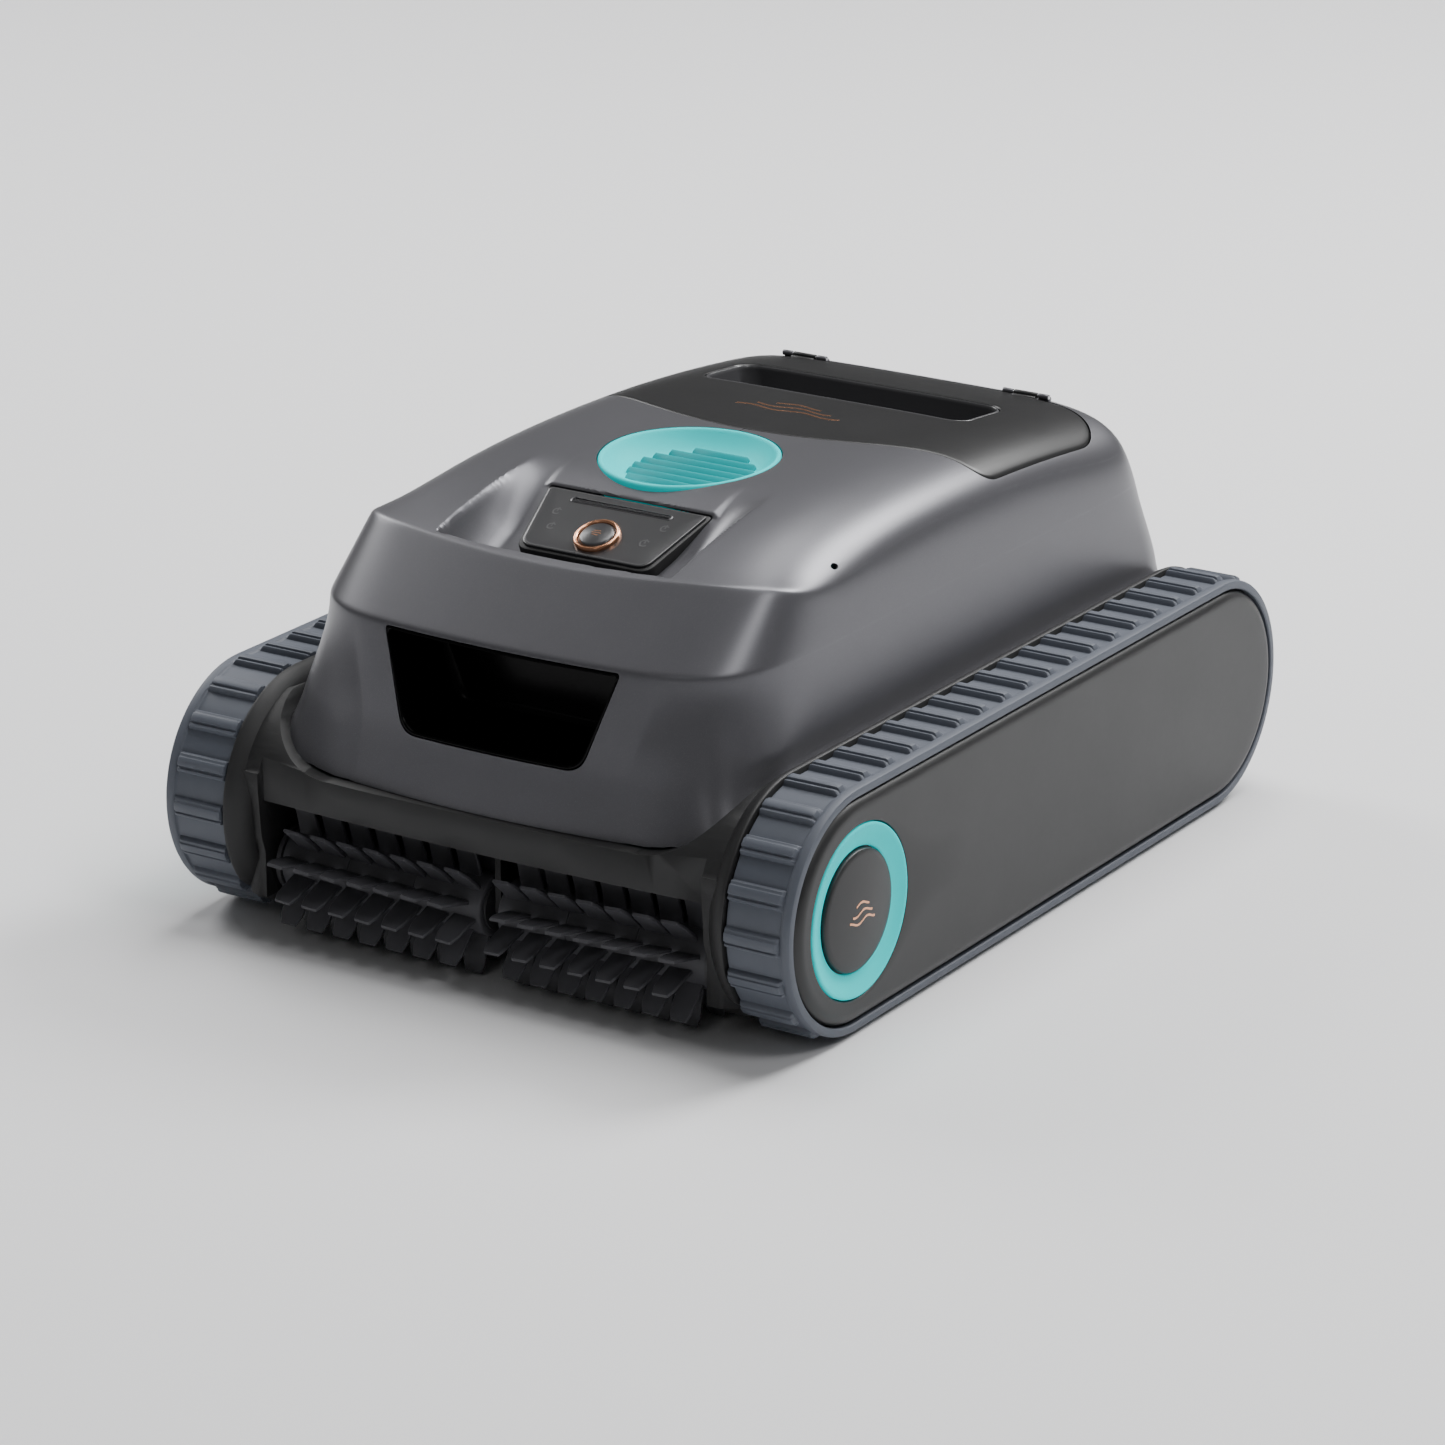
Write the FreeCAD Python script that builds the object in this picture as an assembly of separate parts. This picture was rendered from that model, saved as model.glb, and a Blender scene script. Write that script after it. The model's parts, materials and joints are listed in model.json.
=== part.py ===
import FreeCAD, Part
import math
import os

# Cordless tracked pool cleaner.
# Millimetres. +Z up, the front faces -Y, the right-hand track is at +X.
# Origin: middle of the footprint, on the pool floor under the tracks.

vec = FreeCAD.Vector

# ---- tracks ----
wheelY = 178.0            # front wheels at -wheelY, rear wheels at +wheelY
beltInnerR = 55.5
beltThick = 3.0
grouserHeight = 3.5
grouserCount = 50
beltOuterR = beltInnerR + beltThick
wheelZ = beltOuterR + grouserHeight
beltX0 = 143.0
beltX1 = 178.0
beltRimX = 172.5          # grousers stop here, a smooth rim follows
beltRimRise = 1.2
guideHalf = 2.5           # half width of the guide rib inside the belt
guideHeight = 3.0

# ---- wheels, rollers and gears ----
wheelR = 55.1
wheelX0 = 145.0
wheelX1 = 171.0
webX0 = 157.0
webX1 = 165.0
rimInnerR = 48.5
hubR = 11.0
axleR = 5.0
runFit = 0.05
rollerR = 20.0
rollerY = 60.0
rollerX0 = 146.0
rollerX1 = 170.0
rollerAxleR = 3.0
gearModule = 1.25
ringTeeth = 74
pinionTeeth = 13
toothThinning = 0.22
gearX0 = 146.0
gearX1 = 152.5
gearCentres = (ringTeeth - pinionTeeth) * gearModule / 2

# ---- brush ----
brushAngle = math.radians(225.0)   # direction from the front wheel axis to the brush axis
brushY = -wheelY + gearCentres * math.cos(brushAngle)
brushZ = wheelZ + gearCentres * math.sin(brushAngle)
brushR = 34.5
brushCoreR = 12.0
sleeveR = 15.5
brushFlangeR = 16.5
brushX0 = 4.0
brushX1 = 122.0
journalR = 6.0
bushR = 9.0
centrePinR = 4.0
bladeRows = 12
bladeTurn = 13.0          # turns the first row back from upright
bladesPerRow = 7
bladeWidth = 12.0
bladeThick = 2.2
bladeSlant = 12.0
chamberR = 37.6
chamberHalf = 126.6

# ---- track motors ----
motorAngle = math.radians(205.0)
motorY = wheelY + gearCentres * math.cos(motorAngle)
motorZ = wheelZ + gearCentres * math.sin(motorAngle)
motorR = 16.5
motorX0 = 78.0
motorX1 = 130.0
motorNoseR = 7.0
motorShaftR = 2.5

# ---- chassis ----
chassisHalf = 142.4
chassisFrontY = -230.0
chassisRearY = 227.0
bellyZ = 20.0
chassisWall = 3.5
chassisCorner = 12.0
fenderR = 57.0            # the chassis corners follow the wheels at this radius
cheekBackY = -150.0
bossX = 126.0             # inner ends of the axle bosses
frontAxleX = 131.0        # the front axles start inside the cheeks

# ---- outer form of the upper body: height, half width, front, rear, corner radius, bow ----
formSections = [
    (60.0, 137.0, -233.0, 230.0, 60.0, 5.0),
    (117.0, 132.0, -219.0, 222.0, 56.0, 5.0),
    (166.0, 127.5, -209.5, 205.0, 44.0, 5.0),
    (197.0, 122.5, -171.5, 186.5, 30.0, 6.0),
    (235.0, 116.4, -125.0, 163.0, 22.0, 6.0),
]
roofTop = 219.0
roofFrontDrop = 22.0
roofFrontSpan = 171.0
roofFrontPower = 2.6
roofRearDrop = 14.0
roofRearSpan = 183.0
shoulderDrop = 30.0
shoulderSpan = 128.0
shoulderPower = 8.0
ridgeY = -171.0           # the shoulders start at the front ridge
shoulderFullY = -108.0    # and are fully rounded from here back
shellWall = 3.0
shellEdgeFlatX = 86.0
shellEdgeLowZ = 88.0
shellEdgeSideX = 132.0
shellEdgeSideZ = 117.0
seam = 0.4

# ---- lid ----
lidFrontY = 4.0
lidFrontSideY = 34.0
lidHalf = 117.0
lidRearY = 168.0
lidRearSideY = 165.0
lidCorner = 13.0
lidRearCorner = 25.0
lidThick = 4.0
lidGap = 0.6
ledgeDepth = 6.0
ledgeThick = 3.0
ledgeReach = 12.0
slotHalf = 76.5
slotFrontY = 84.0
slotRearY = 126.0
cupFloorZ = 184.0
cupWall = 2.0
hingeBarrelR = 1.8
hingePinR = 0.8
hingeX = 56.0
hingeMidX = 66.5
hingeArmHalf = 7.0
hingePocketFit = 0.4
hingePocketR = 2.8
hingeY = 167.6

# ---- control panel in its trough ----
troughHalf = 67.0
troughFrontY = -165.5
troughFrontZ = 173.5
troughRearY = -62.0
troughRearZ = 217.6
troughWall = 2.5
panelLowY = -139.4
panelLowZ = 192.1
panelHighY = -99.3
panelHighZ = 208.7
panelLowHalf = 35.8
panelHighHalf = 45.2
panelThick = 2.0
podMargin = 1.8
buttonY = -126.0
buttonR = 8.9
ringOuterR = 12.0
ringInnerR = 9.2
ringRise = 2.2
springDepth = 6.5         # the spring stands on the trough floor
springLength = 4.2
panelTilt = math.degrees(math.atan2(panelHighZ - panelLowZ, panelHighY - panelLowY))

# ---- grip pocket in the front ----
gripTopHalf = 65.0
gripTopZ = 162.6
gripLowHalf = 49.0
gripLowZ = 118.0
gripBackY = -170.0
gripCorner = 12.0
gripWall = 2.0

# ---- vent and pump ----
ventY = -46.0
ventR = 45.0
ventTilt = 3.5
ventZ = 215.6
ventBowlDepth = 9.0
ventBowlR = 34.0
louvreCount = 6
ductR = 41.0
ductWall = 2.0
ductZ0 = 150.0
propR = 37.0
propZ = 172.0
pumpMotorR = 24.0
pumpShaftR = 3.0

# ---- inside ----
boxHalf = 118.0
boxFrontY = -147.0
boxRearY = 14.0
boxZ0 = bellyZ + chassisWall
boxZ1 = 92.0
boxWall = 3.0
gasketThick = 1.5
coverThick = 4.0
cellR = 10.5
cellLength = 70.0
basketHalf = 95.0
basketFrontY = 24.0
basketRearY = 150.0
basketZ0 = 64.0
basketZ1 = 178.0
basketWall = 3.0
meshThick = 0.8
intakeHalf = 70.0
intakeFrontY = 55.0
intakeRearY = 85.0
throatWall = 3.0
flapThick = 2.0
flapPinR = 1.5
socketX = 70.0
socketZ = 66.0
socketR = 11.0
capR = 13.0
capThick = 3.0

# ---- side covers ----
coverR = 55.0
coverX0 = 172.0
coverX1 = 179.3
coverWall = 2.5
coverBevel = 3.5
hubRingOuterR = 42.0
hubRingInnerR = 30.0
hubCapRise = 1.5
hubDomeR = 220.0
hubSeatX = coverX0 + 2.5
socketDepth = 1.5         # the axle ends sit this deep in the covers


# working sizes beyond the outline, tub and cheeks
beyondX = 150.0
beyondY = 245.0
tubTopZ = 125.0
cheekTopZ = 118.0

# belly screws and brush hanger
screwX = 112.0
screwYs = (-138.0, -30.0, 95.0, 190.0)
screwHeadR = 4.0
screwHeadDeep = 1.6
screwDriveR = 1.6
hangerHalfX = 1.6
hangerHalfY = 7.0

# propeller blades
propRootR = 6.0
propChord = 26.0
propThick = 2.2
propPitchDeg = 24.0

# light bar, lid hinge arms
lightHalf = 29.0
lightWidth = 3.6
lightInset = 8.2
hingeArmLength = 6.0
hingeArmDrop = 2.4
hingePinHalf = 13.5

# circuit board and basket windows
boardHalf = 95.0
boardFrontY = -135.0
boardRearY = -20.0
boardThick = 1.6
windowMargin = 12.0
windowPitchX = 44.5
windowWidthX = 36.5
windowPitchY = 38.0
windowWidthY = 31.0

# charging plug and its cap
plugR = 7.5
plugDepth = 10.0
contactX = 3.0
contactR = 1.0
capPinR = 1.0
capBarrelR = 2.2

# wheel webs and gear teeth
webHoleR = 9.0
webHoleAt = 29.0
wheelFlutes = 48
pressureAngle = 20.0


# ---------------------------------------------------------------- basic shapes


def block(x0, x1, y0, y1, z0, z1):
    return Part.makeBox(x1 - x0, y1 - y0, z1 - z0, vec(x0, y0, z0))


def rodX(radius, x0, x1, y, z):
    return Part.makeCylinder(radius, x1 - x0, vec(x0, y, z), vec(1, 0, 0))


def rodY(radius, y0, y1, x, z):
    return Part.makeCylinder(radius, y1 - y0, vec(x, y0, z), vec(0, 1, 0))


def rodZ(radius, z0, z1, x, y):
    return Part.makeCylinder(radius, z1 - z0, vec(x, y, z0), vec(0, 0, 1))


def prismX(points, x0, x1):
    """Extrude a closed outline of (y, z) points along X."""
    corners = [vec(x0, y, z) for y, z in points]
    face = Part.Face(Part.makePolygon(corners + corners[:1]))
    return face.extrude(vec(x1 - x0, 0, 0))


def prismY(points, y0, y1):
    """Extrude a closed outline of (x, z) points along Y."""
    corners = [vec(x, y0, z) for x, z in points]
    face = Part.Face(Part.makePolygon(corners + corners[:1]))
    return face.extrude(vec(0, y1 - y0, 0))


def prismZ(wire, z0, z1):
    """Extrude a flat wire drawn at height 0 from z0 to z1."""
    face = Part.Face(wire)
    face.translate(vec(0, 0, z0))
    return face.extrude(vec(0, 0, z1 - z0))


def arc(first, middle, last):
    return Part.Arc(first, middle, last).toShape()


def line(first, last):
    return Part.LineSegment(first, last).toShape()


def sideSpan(side, near, far):
    """The X range from near to far on the right (side 1) or the left (side -1)."""
    return min(side * near, side * far), max(side * near, side * far)


def mirrored(shape):
    return shape.mirror(vec(0, 0, 0), vec(1, 0, 0))


def save(name, shape):
    """Write one node; a list is kept as separate solids."""
    if isinstance(shape, list):
        shape = Part.makeCompound(shape)
    elif shape.ShapeType == "Compound" and len(shape.Solids) == 1:
        shape = shape.Solids[0]
    shape.exportStep("parts/" + name + ".step")
    print(name, len(shape.Solids), round(shape.Volume / 1000, 1), "cm3", shape.isValid())


def saveBothSides(name, shape):
    save("right_" + name, shape)
    if isinstance(shape, list):
        save("left_" + name, [mirrored(piece) for piece in shape])
    else:
        save("left_" + name, mirrored(shape))


# ---------------------------------------------------------------- outer form
def sectionWire(section, inset):
    """Plan outline with round corners and slightly bowed front and rear edges."""
    z, half, front, rear, corner, bow = section
    half = half - inset
    front = front + inset
    rear = rear - inset
    c = corner
    k = c * (1 - math.sqrt(0.5))
    f = front + bow
    r = rear - bow
    edges = [
        arc(vec(-half + c, f, z), vec(0, front, z), vec(half - c, f, z)),
        arc(vec(half - c, f, z), vec(half - k, f + k, z), vec(half, f + c, z)),
        line(vec(half, f + c, z), vec(half, r - c, z)),
        arc(vec(half, r - c, z), vec(half - k, r - k, z), vec(half - c, r, z)),
        arc(vec(half - c, r, z), vec(0, rear, z), vec(-half + c, r, z)),
        arc(vec(-half + c, r, z), vec(-half + k, r - k, z), vec(-half, r - c, z)),
        line(vec(-half, r - c, z), vec(-half, f + c, z)),
        arc(vec(-half, f + c, z), vec(-half + k, f + k, z), vec(-half + c, f, z)),
    ]
    return Part.Wire(edges)


def roofHeight(x, y):
    """Height of the roof: arched from front to rear, falling away at the shoulders."""
    if y < 0:
        arch = roofFrontDrop * (-y / roofFrontSpan) ** roofFrontPower
    else:
        arch = roofRearDrop * (y / roofRearSpan) ** 2
    fade = min(1.0, max(0.0, (y - ridgeY) / (shoulderFullY - ridgeY)))
    fade = 0.05 + 0.95 * fade * fade * (3 - 2 * fade)
    return roofTop - arch - fade * shoulderDrop * (abs(x) / shoulderSpan) ** shoulderPower


def underRoof(inset):
    """Everything below the roof surface, as a solid."""
    grid = []
    for i in range(27):
        x = -138.0 + 276.0 * i / 26
        grid.append([vec(x, y, roofHeight(x, y) - inset) for y in range(-250, 251, 12)])
    surface = Part.BSplineSurface()
    surface.interpolate(grid)
    return surface.toShape().extrude(vec(0, 0, -260))


formCache = {}


def bodyForm(inset):
    """The upper body's outer form, moved inwards by inset."""
    if inset not in formCache:
        wires = [sectionWire(section, inset) for section in formSections]
        tower = Part.makeLoft(wires, True, True)
        formCache[inset] = tower.common(underRoof(inset))
    return formCache[inset]


def skin(outer, inner):
    return bodyForm(outer).cut(bodyForm(inner))


def belowShellEdge(drop, y0, y1):
    """Region under the shell's lower edge, which dips across the front and rear."""
    low = shellEdgeLowZ - drop
    high = shellEdgeSideZ - drop
    curve = Part.BSplineCurve()
    curve.interpolate([
        vec(shellEdgeFlatX, y0, low),
        vec(105, y0, low + 3.4),
        vec(120, y0, low + 13.5),
        vec(shellEdgeSideX, y0, high),
    ])
    right = curve.toShape()
    left = mirrored(right)
    edges = [
        right,
        line(vec(shellEdgeSideX, y0, high), vec(160, y0, high)),
        line(vec(160, y0, high), vec(160, y0, -10)),
        line(vec(160, y0, -10), vec(-160, y0, -10)),
        line(vec(-160, y0, -10), vec(-160, y0, high)),
        line(vec(-160, y0, high), vec(-shellEdgeSideX, y0, high)),
        left,
        line(vec(-shellEdgeFlatX, y0, low), vec(shellEdgeFlatX, y0, low)),
    ]
    wire = Part.Wire(Part.__sortEdges__(edges))
    return Part.Face(wire).extrude(vec(0, y1 - y0, 0))


# ---------------------------------------------------------------- lid outline
def lidOutline(grow):
    """Plan outline of the lid, grown outwards by grow: bowed front, round corners."""
    half = lidHalf + grow
    c = lidCorner
    k = c * (1 - math.sqrt(0.5))
    rc = lidRearCorner
    rk = rc * (1 - math.sqrt(0.5))
    side = lidFrontSideY - grow
    rear = lidRearSideY + grow
    edges = [
        arc(vec(-half + c, side, 0), vec(0, lidFrontY - grow, 0), vec(half - c, side, 0)),
        arc(vec(half - c, side, 0), vec(half - k, side + k, 0), vec(half, side + c, 0)),
        line(vec(half, side + c, 0), vec(half, rear - rc, 0)),
        arc(vec(half, rear - rc, 0), vec(half - rk, rear - rk, 0), vec(half - rc, rear, 0)),
        arc(vec(half - rc, rear, 0), vec(0, lidRearY + grow, 0), vec(-half + rc, rear, 0)),
        arc(vec(-half + rc, rear, 0), vec(-half + rk, rear - rk, 0), vec(-half, rear - rc, 0)),
        line(vec(-half, rear - rc, 0), vec(-half, side + c, 0)),
        arc(vec(-half, side + c, 0), vec(-half + k, side + k, 0), vec(-half + c, side, 0)),
    ]
    return Part.Wire(edges)


def lidPrism(grow):
    return prismZ(lidOutline(grow), 150, 240)


def slotPrism(grow, z0):
    """Rounded slot for the carrying grip."""
    x = slotHalf + grow
    y0 = slotFrontY - grow
    y1 = slotRearY + grow
    c = 8.0 + grow
    k = c * (1 - math.sqrt(0.5))
    edges = [
        line(vec(-x + c, y0, 0), vec(x - c, y0, 0)),
        arc(vec(x - c, y0, 0), vec(x - k, y0 + k, 0), vec(x, y0 + c, 0)),
        line(vec(x, y0 + c, 0), vec(x, y1 - c, 0)),
        arc(vec(x, y1 - c, 0), vec(x - k, y1 - k, 0), vec(x - c, y1, 0)),
        line(vec(x - c, y1, 0), vec(-x + c, y1, 0)),
        arc(vec(-x + c, y1, 0), vec(-x + k, y1 - k, 0), vec(-x, y1 - c, 0)),
        line(vec(-x, y1 - c, 0), vec(-x, y0 + c, 0)),
        arc(vec(-x, y0 + c, 0), vec(-x + k, y0 + k, 0), vec(-x + c, y0, 0)),
    ]
    return prismZ(Part.Wire(edges), z0, 240)


hingeZ = roofHeight(hingeX, hingeY) + 0.3


def hingeKnuckle(x0, x1, boreR):
    barrel = rodX(hingeBarrelR, x0, x1, hingeY, hingeZ)
    return barrel.cut(rodX(boreR, x0 - 1, x1 + 1, hingeY, hingeZ))


# ---------------------------------------------------------------- top shell
def troughPrism(grow):
    """Sloping trough behind the front ridge; a tongue in its middle carries the panel."""
    x = troughHalf + grow
    points = [
        (troughFrontY - grow, troughFrontZ - grow),
        (troughRearY + grow, troughRearZ - grow),
        (troughRearY + grow, 240),
        (troughFrontY - grow, 240),
    ]
    hollow = prismX(points, -x, x)
    tongue = panelHighHalf + podMargin - grow
    return hollow.cut(block(-tongue, tongue, panelHighY + podMargin + grow, troughRearY + 9, 150, 241))


def gripPrism(grow, backY):
    """Grip pocket: a trapezoid wider at the top, with round lower corners."""
    top = gripTopZ + grow
    low = gripLowZ - grow
    xt = gripTopHalf + grow
    xl = gripLowHalf + grow
    c = gripCorner
    y = -245.0
    lean = (xt - xl) / (top - low)
    up = vec(lean, 0, 1).normalize() * c
    edges = [
        line(vec(-xt, y, top), vec(-xl, y, low) + vec(-up.x, 0, up.z)),
        arc(
            vec(-xl, y, low) + vec(-up.x, 0, up.z),
            vec(-xl + c * 0.14, y, low + c * 0.25),
            vec(-xl + c, y, low)),
        line(vec(-xl + c, y, low), vec(xl - c, y, low)),
        arc(
            vec(xl - c, y, low),
            vec(xl - c * 0.14, y, low + c * 0.25),
            vec(xl, y, low) + vec(up.x, 0, up.z)),
        line(vec(xl, y, low) + vec(up.x, 0, up.z), vec(xt, y, top)),
        line(vec(xt, y, top), vec(-xt, y, top)),
    ]
    return Part.Face(Part.Wire(edges)).extrude(vec(0, backY - y, 0))


def ventCylinder(radius, up, down):
    """A cylinder on the vent's tilted axis, from down below the rim to up above it."""
    axis = vec(0, -math.sin(math.radians(ventTilt)), math.cos(math.radians(ventTilt)))
    start = vec(0, ventY, ventZ) - axis * down
    return Part.makeCylinder(radius, up + down, start, axis)


def makeTopShell():
    shell = skin(0.0, shellWall)
    frame = lidPrism(4.0).cut(lidPrism(lidGap))
    shell = shell.fuse(skin(0.0, ledgeDepth + ledgeThick).common(frame))
    shell = shell.cut(lidPrism(lidGap))
    ledgeBand = lidPrism(3.0).cut(lidPrism(-ledgeReach))
    shell = shell.fuse(skin(ledgeDepth, ledgeDepth + ledgeThick).common(ledgeBand))
    shell = shell.fuse(bodyForm(0.0).common(troughPrism(troughWall)))
    shell = shell.cut(troughPrism(0.0))
    shell = shell.cut(ventCylinder(ventR + 0.3, 20, 30))
    shell = shell.cut(gripPrism(gripWall, gripBackY))
    shell = shell.cut(belowShellEdge(0.0, -beyondY, beyondY))
    for side in (-1, 1):
        for near in (hingeX, hingeX + 21.0):
            x = side * near
            lug = rodX(hingeBarrelR, x - 3, x + 3, hingeY, hingeZ)
            foot = block(x - 3, x + 3, hingeY - 0.2, hingeY + 3.5, hingeZ - 3.2, hingeZ)
            shell = shell.fuse([lug, foot])
            shell = shell.cut(rodX(hingePinR, x - 4, x + 4, hingeY, hingeZ))
        x = side * hingeMidX
        reach = hingeArmHalf + hingePocketFit
        shell = shell.cut(rodX(hingePocketR, x - reach, x + reach, hingeY, hingeZ))
    return shell


def makeGripLiner():
    solid = gripPrism(gripWall, gripBackY).common(bodyForm(0.3))
    return solid.cut(gripPrism(0.0, gripBackY - gripWall))


# ---------------------------------------------------------------- vent and pump
def makeVentGrille():
    axis = vec(0, 0, 1)
    tube = Part.makeCylinder(ventR, ventBowlDepth + 4, vec(0, 0, -ventBowlDepth - 4), axis)
    bowl = Part.makeCone(ventBowlR, ventR - 1.5, ventBowlDepth, vec(0, 0, -ventBowlDepth), axis)
    throat = Part.makeCylinder(ventBowlR, 20, vec(0, 0, -ventBowlDepth - 10), axis)
    body = tube.cut(bowl).cut(throat)
    body = body.cut(Part.makeCylinder(ventR - 1.5, 3, vec(0, 0, -0.01), axis))
    louvres = []
    spacing = 2 * ventBowlR / (louvreCount + 0.5)
    for i in range(louvreCount):
        y = (i - (louvreCount - 1) / 2) * spacing
        bar = Part.makeBox(2 * ventBowlR + 4, 2.4, 11, vec(-ventBowlR - 2, -1.2, -5.5))
        bar.rotate(vec(0, 0, 0), vec(1, 0, 0), -38)
        bar.translate(vec(0, y, -ventBowlDepth + 0.5))
        louvres.append(bar)
    spine = Part.makeBox(3, 2 * ventBowlR + 2, 3.5, vec(-1.5, -ventBowlR - 1, -ventBowlDepth - 4))
    inside = Part.makeCylinder(ventBowlR + 2, 22, vec(0, 0, -ventBowlDepth - 4), axis)
    bars = spine.fuse(louvres).common(inside)
    grille = body.fuse(bars)
    grille.rotate(vec(0, 0, 0), vec(1, 0, 0), ventTilt)
    grille.translate(vec(0, ventY, ventZ))
    return grille


def makePumpDuct():
    tube = rodZ(ductR + ductWall, ductZ0, 199, 0, ventY).cut(rodZ(ductR, ductZ0 - 1, 200, 0, ventY))
    flange = rodZ(ductR + 8, ductZ0, ductZ0 + 3, 0, ventY).cut(rodZ(ductR, ductZ0 - 1, ductZ0 + 4, 0, ventY))
    duct = tube.fuse(flange)
    coverTop = boxZ1 + gasketThick + coverThick
    for angle in (45, 135, 225, 315):
        a = math.radians(angle)
        x = (ductR + 4.5) * math.cos(a)
        y = ventY + (ductR + 4.5) * math.sin(a)
        duct = duct.fuse(rodZ(3.5, coverTop, ductZ0 + 1, x, y))
    return duct


def makePumpMotor():
    base = boxZ1 + gasketThick + coverThick
    can = rodZ(pumpMotorR, base, ductZ0 - 6, 0, ventY)
    cone = Part.makeCone(pumpMotorR, 10, 10, vec(0, ventY, ductZ0 - 6), vec(0, 0, 1))
    foot = rodZ(pumpMotorR + 7, base, base + 4, 0, ventY)
    motor = can.fuse([cone, foot])
    return motor.cut(rodZ(pumpShaftR + runFit, ductZ0 - 26, ductZ0 + 10, 0, ventY))


def makePropeller():
    shaft = rodZ(pumpShaftR, ductZ0 - 20, propZ + 9, 0, ventY)
    hub = rodZ(9, propZ - 8, propZ + 6, 0, ventY)
    nose = Part.makeCone(9, 4, 7, vec(0, ventY, propZ + 6), vec(0, 0, 1))
    prop = shaft.fuse([hub, nose])
    for i in range(3):
        blade = Part.makeBox(propR - propRootR, propChord, propThick, vec(propRootR,
            -propChord / 2, -propThick / 2))
        blade.rotate(vec(0, 0, 0), vec(1, 0, 0), propPitchDeg)
        blade.rotate(vec(0, 0, 0), vec(0, 0, 1), 120 * i)
        blade.translate(vec(0, ventY, propZ))
        prop = prop.fuse(blade.common(rodZ(propR, propZ - 20, propZ + 20, 0, ventY)))
    return prop


# ---------------------------------------------------------------- control panel
def onPanel(shape):
    """Move a shape drawn flat, with the button at its origin, onto the sloping panel."""
    z = panelLowZ + (buttonY - panelLowY) * math.tan(math.radians(panelTilt))
    shape.rotate(vec(0, 0, 0), vec(1, 0, 0), panelTilt)
    shape.translate(vec(0, buttonY, z))
    return shape


panelLowV = (panelLowY - buttonY) / math.cos(math.radians(panelTilt))
panelHighV = (panelHighY - buttonY) / math.cos(math.radians(panelTilt))


def panelPlate(grow, z0, z1):
    """Trapezoid plate in the panel's own flat frame."""
    xl = panelLowHalf + grow
    xh = panelHighHalf + grow
    v0 = panelLowV - grow
    v1 = panelHighV + grow
    c = 5.0
    corners = [
        (-xl + c, v0), (xl - c, v0), (xl + 0.2 * c, v0 + c),
        (xh, v1 - 1.5), (xh - 1.5, v1), (-xh + 1.5, v1), (-xh, v1 - 1.5),
        (-xl - 0.2 * c, v0 + c),
    ]
    points = [vec(x, y, z0) for x, y in corners]
    face = Part.Face(Part.makePolygon(points + points[:1]))
    return face.extrude(vec(0, 0, z1 - z0))


def lightBarSlot(grow, z0, z1):
    x = lightHalf + grow
    return Part.makeBox(2 * x, lightWidth + 2 * grow, z1 - z0, vec(-x, panelHighV - lightInset - grow, z0))


def makeControlPanel():
    plate = panelPlate(0.0, -panelThick, 0)
    plate = plate.cut(Part.makeCylinder(ringOuterR, 10, vec(0, 0, -5)))
    plate = plate.cut(lightBarSlot(0.0, -5, 5))
    return onPanel(plate)


def makeControlPod():
    low = block(-60, 60, -150, -80, 150, 230)
    foot = panelPlate(podMargin, -40, -panelThick)
    foot = foot.cut(Part.makeCylinder(ringInnerR, 11, vec(0, 0, -12.5)))
    foot = foot.cut(lightBarSlot(0.0, -4.5, 0))
    foot = onPanel(foot).common(low)
    return foot.common(troughPrism(0.0))


def makeButtonRing():
    ring = Part.makeCylinder(ringOuterR, ringRise + panelThick, vec(0, 0, -panelThick))
    ring = ring.cut(Part.makeCylinder(ringInnerR, 20, vec(0, 0, -10)))
    ring = ring.makeChamfer(0.7, [e for e in ring.Edges if e.BoundBox.ZMin > ringRise - 0.01])
    return onPanel(ring)


def makePowerButton():
    cap = Part.makeCylinder(buttonR, 4.2, vec(0, 0, -2.2))
    cap = cap.makeFillet(1.2, [e for e in cap.Edges if e.BoundBox.ZMin > 1.9])
    stem = Part.makeCylinder(2.5, 3.5, vec(0, 0, -4.9))
    return onPanel(cap.fuse(stem))


def makeButtonSpring():
    coil = Part.makeCylinder(5.6, springLength, vec(0, 0, -springDepth))
    return onPanel(coil.cut(Part.makeCylinder(4.2, 12, vec(0, 0, -13))))


# ---------------------------------------------------------------- lid
def makeLid():
    lid = skin(0.0, lidThick).common(lidPrism(0.0))
    lid = lid.cut(slotPrism(cupWall, 150))
    for side in (-1, 1):
        x = side * hingeMidX
        x0 = x - hingeArmHalf
        x1 = x + hingeArmHalf
        barrel = rodX(hingeBarrelR, x0, x1, hingeY, hingeZ)
        arm = block(x0, x1, hingeY - hingeArmLength, hingeY, hingeZ - hingeArmDrop, hingeZ + 0.4)
        lugRoom = rodX(hingeBarrelR + 0.4, x - hingePinHalf - 1, x + hingePinHalf + 1, hingeY, hingeZ)
        lid = lid.cut(lugRoom).fuse([barrel, arm])
        lid = lid.cut(rodX(hingePinR + runFit, x0 - 1, x1 + 1, hingeY, hingeZ))
    return lid


def makeHandleCup():
    cup = slotPrism(cupWall, cupFloorZ - cupWall).common(bodyForm(0.2))
    return cup.cut(slotPrism(0.0, cupFloorZ))


def makeLidSeal():
    ring = lidPrism(-4.0).cut(lidPrism(-9.0))
    return skin(lidThick, ledgeDepth - 0.3).common(ring)


def makeHingePins():
    pins = []
    for side in (-1, 1):
        x = side * hingeMidX
        pins.append(rodX(hingePinR, x - hingePinHalf, x + hingePinHalf, hingeY, hingeZ))
    return pins


# ---------------------------------------------------------------- chassis
def chassisPlan(inset):
    section = (0.0, chassisHalf, chassisFrontY, chassisRearY, chassisCorner, 4.0)
    return sectionWire(section, inset)


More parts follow.
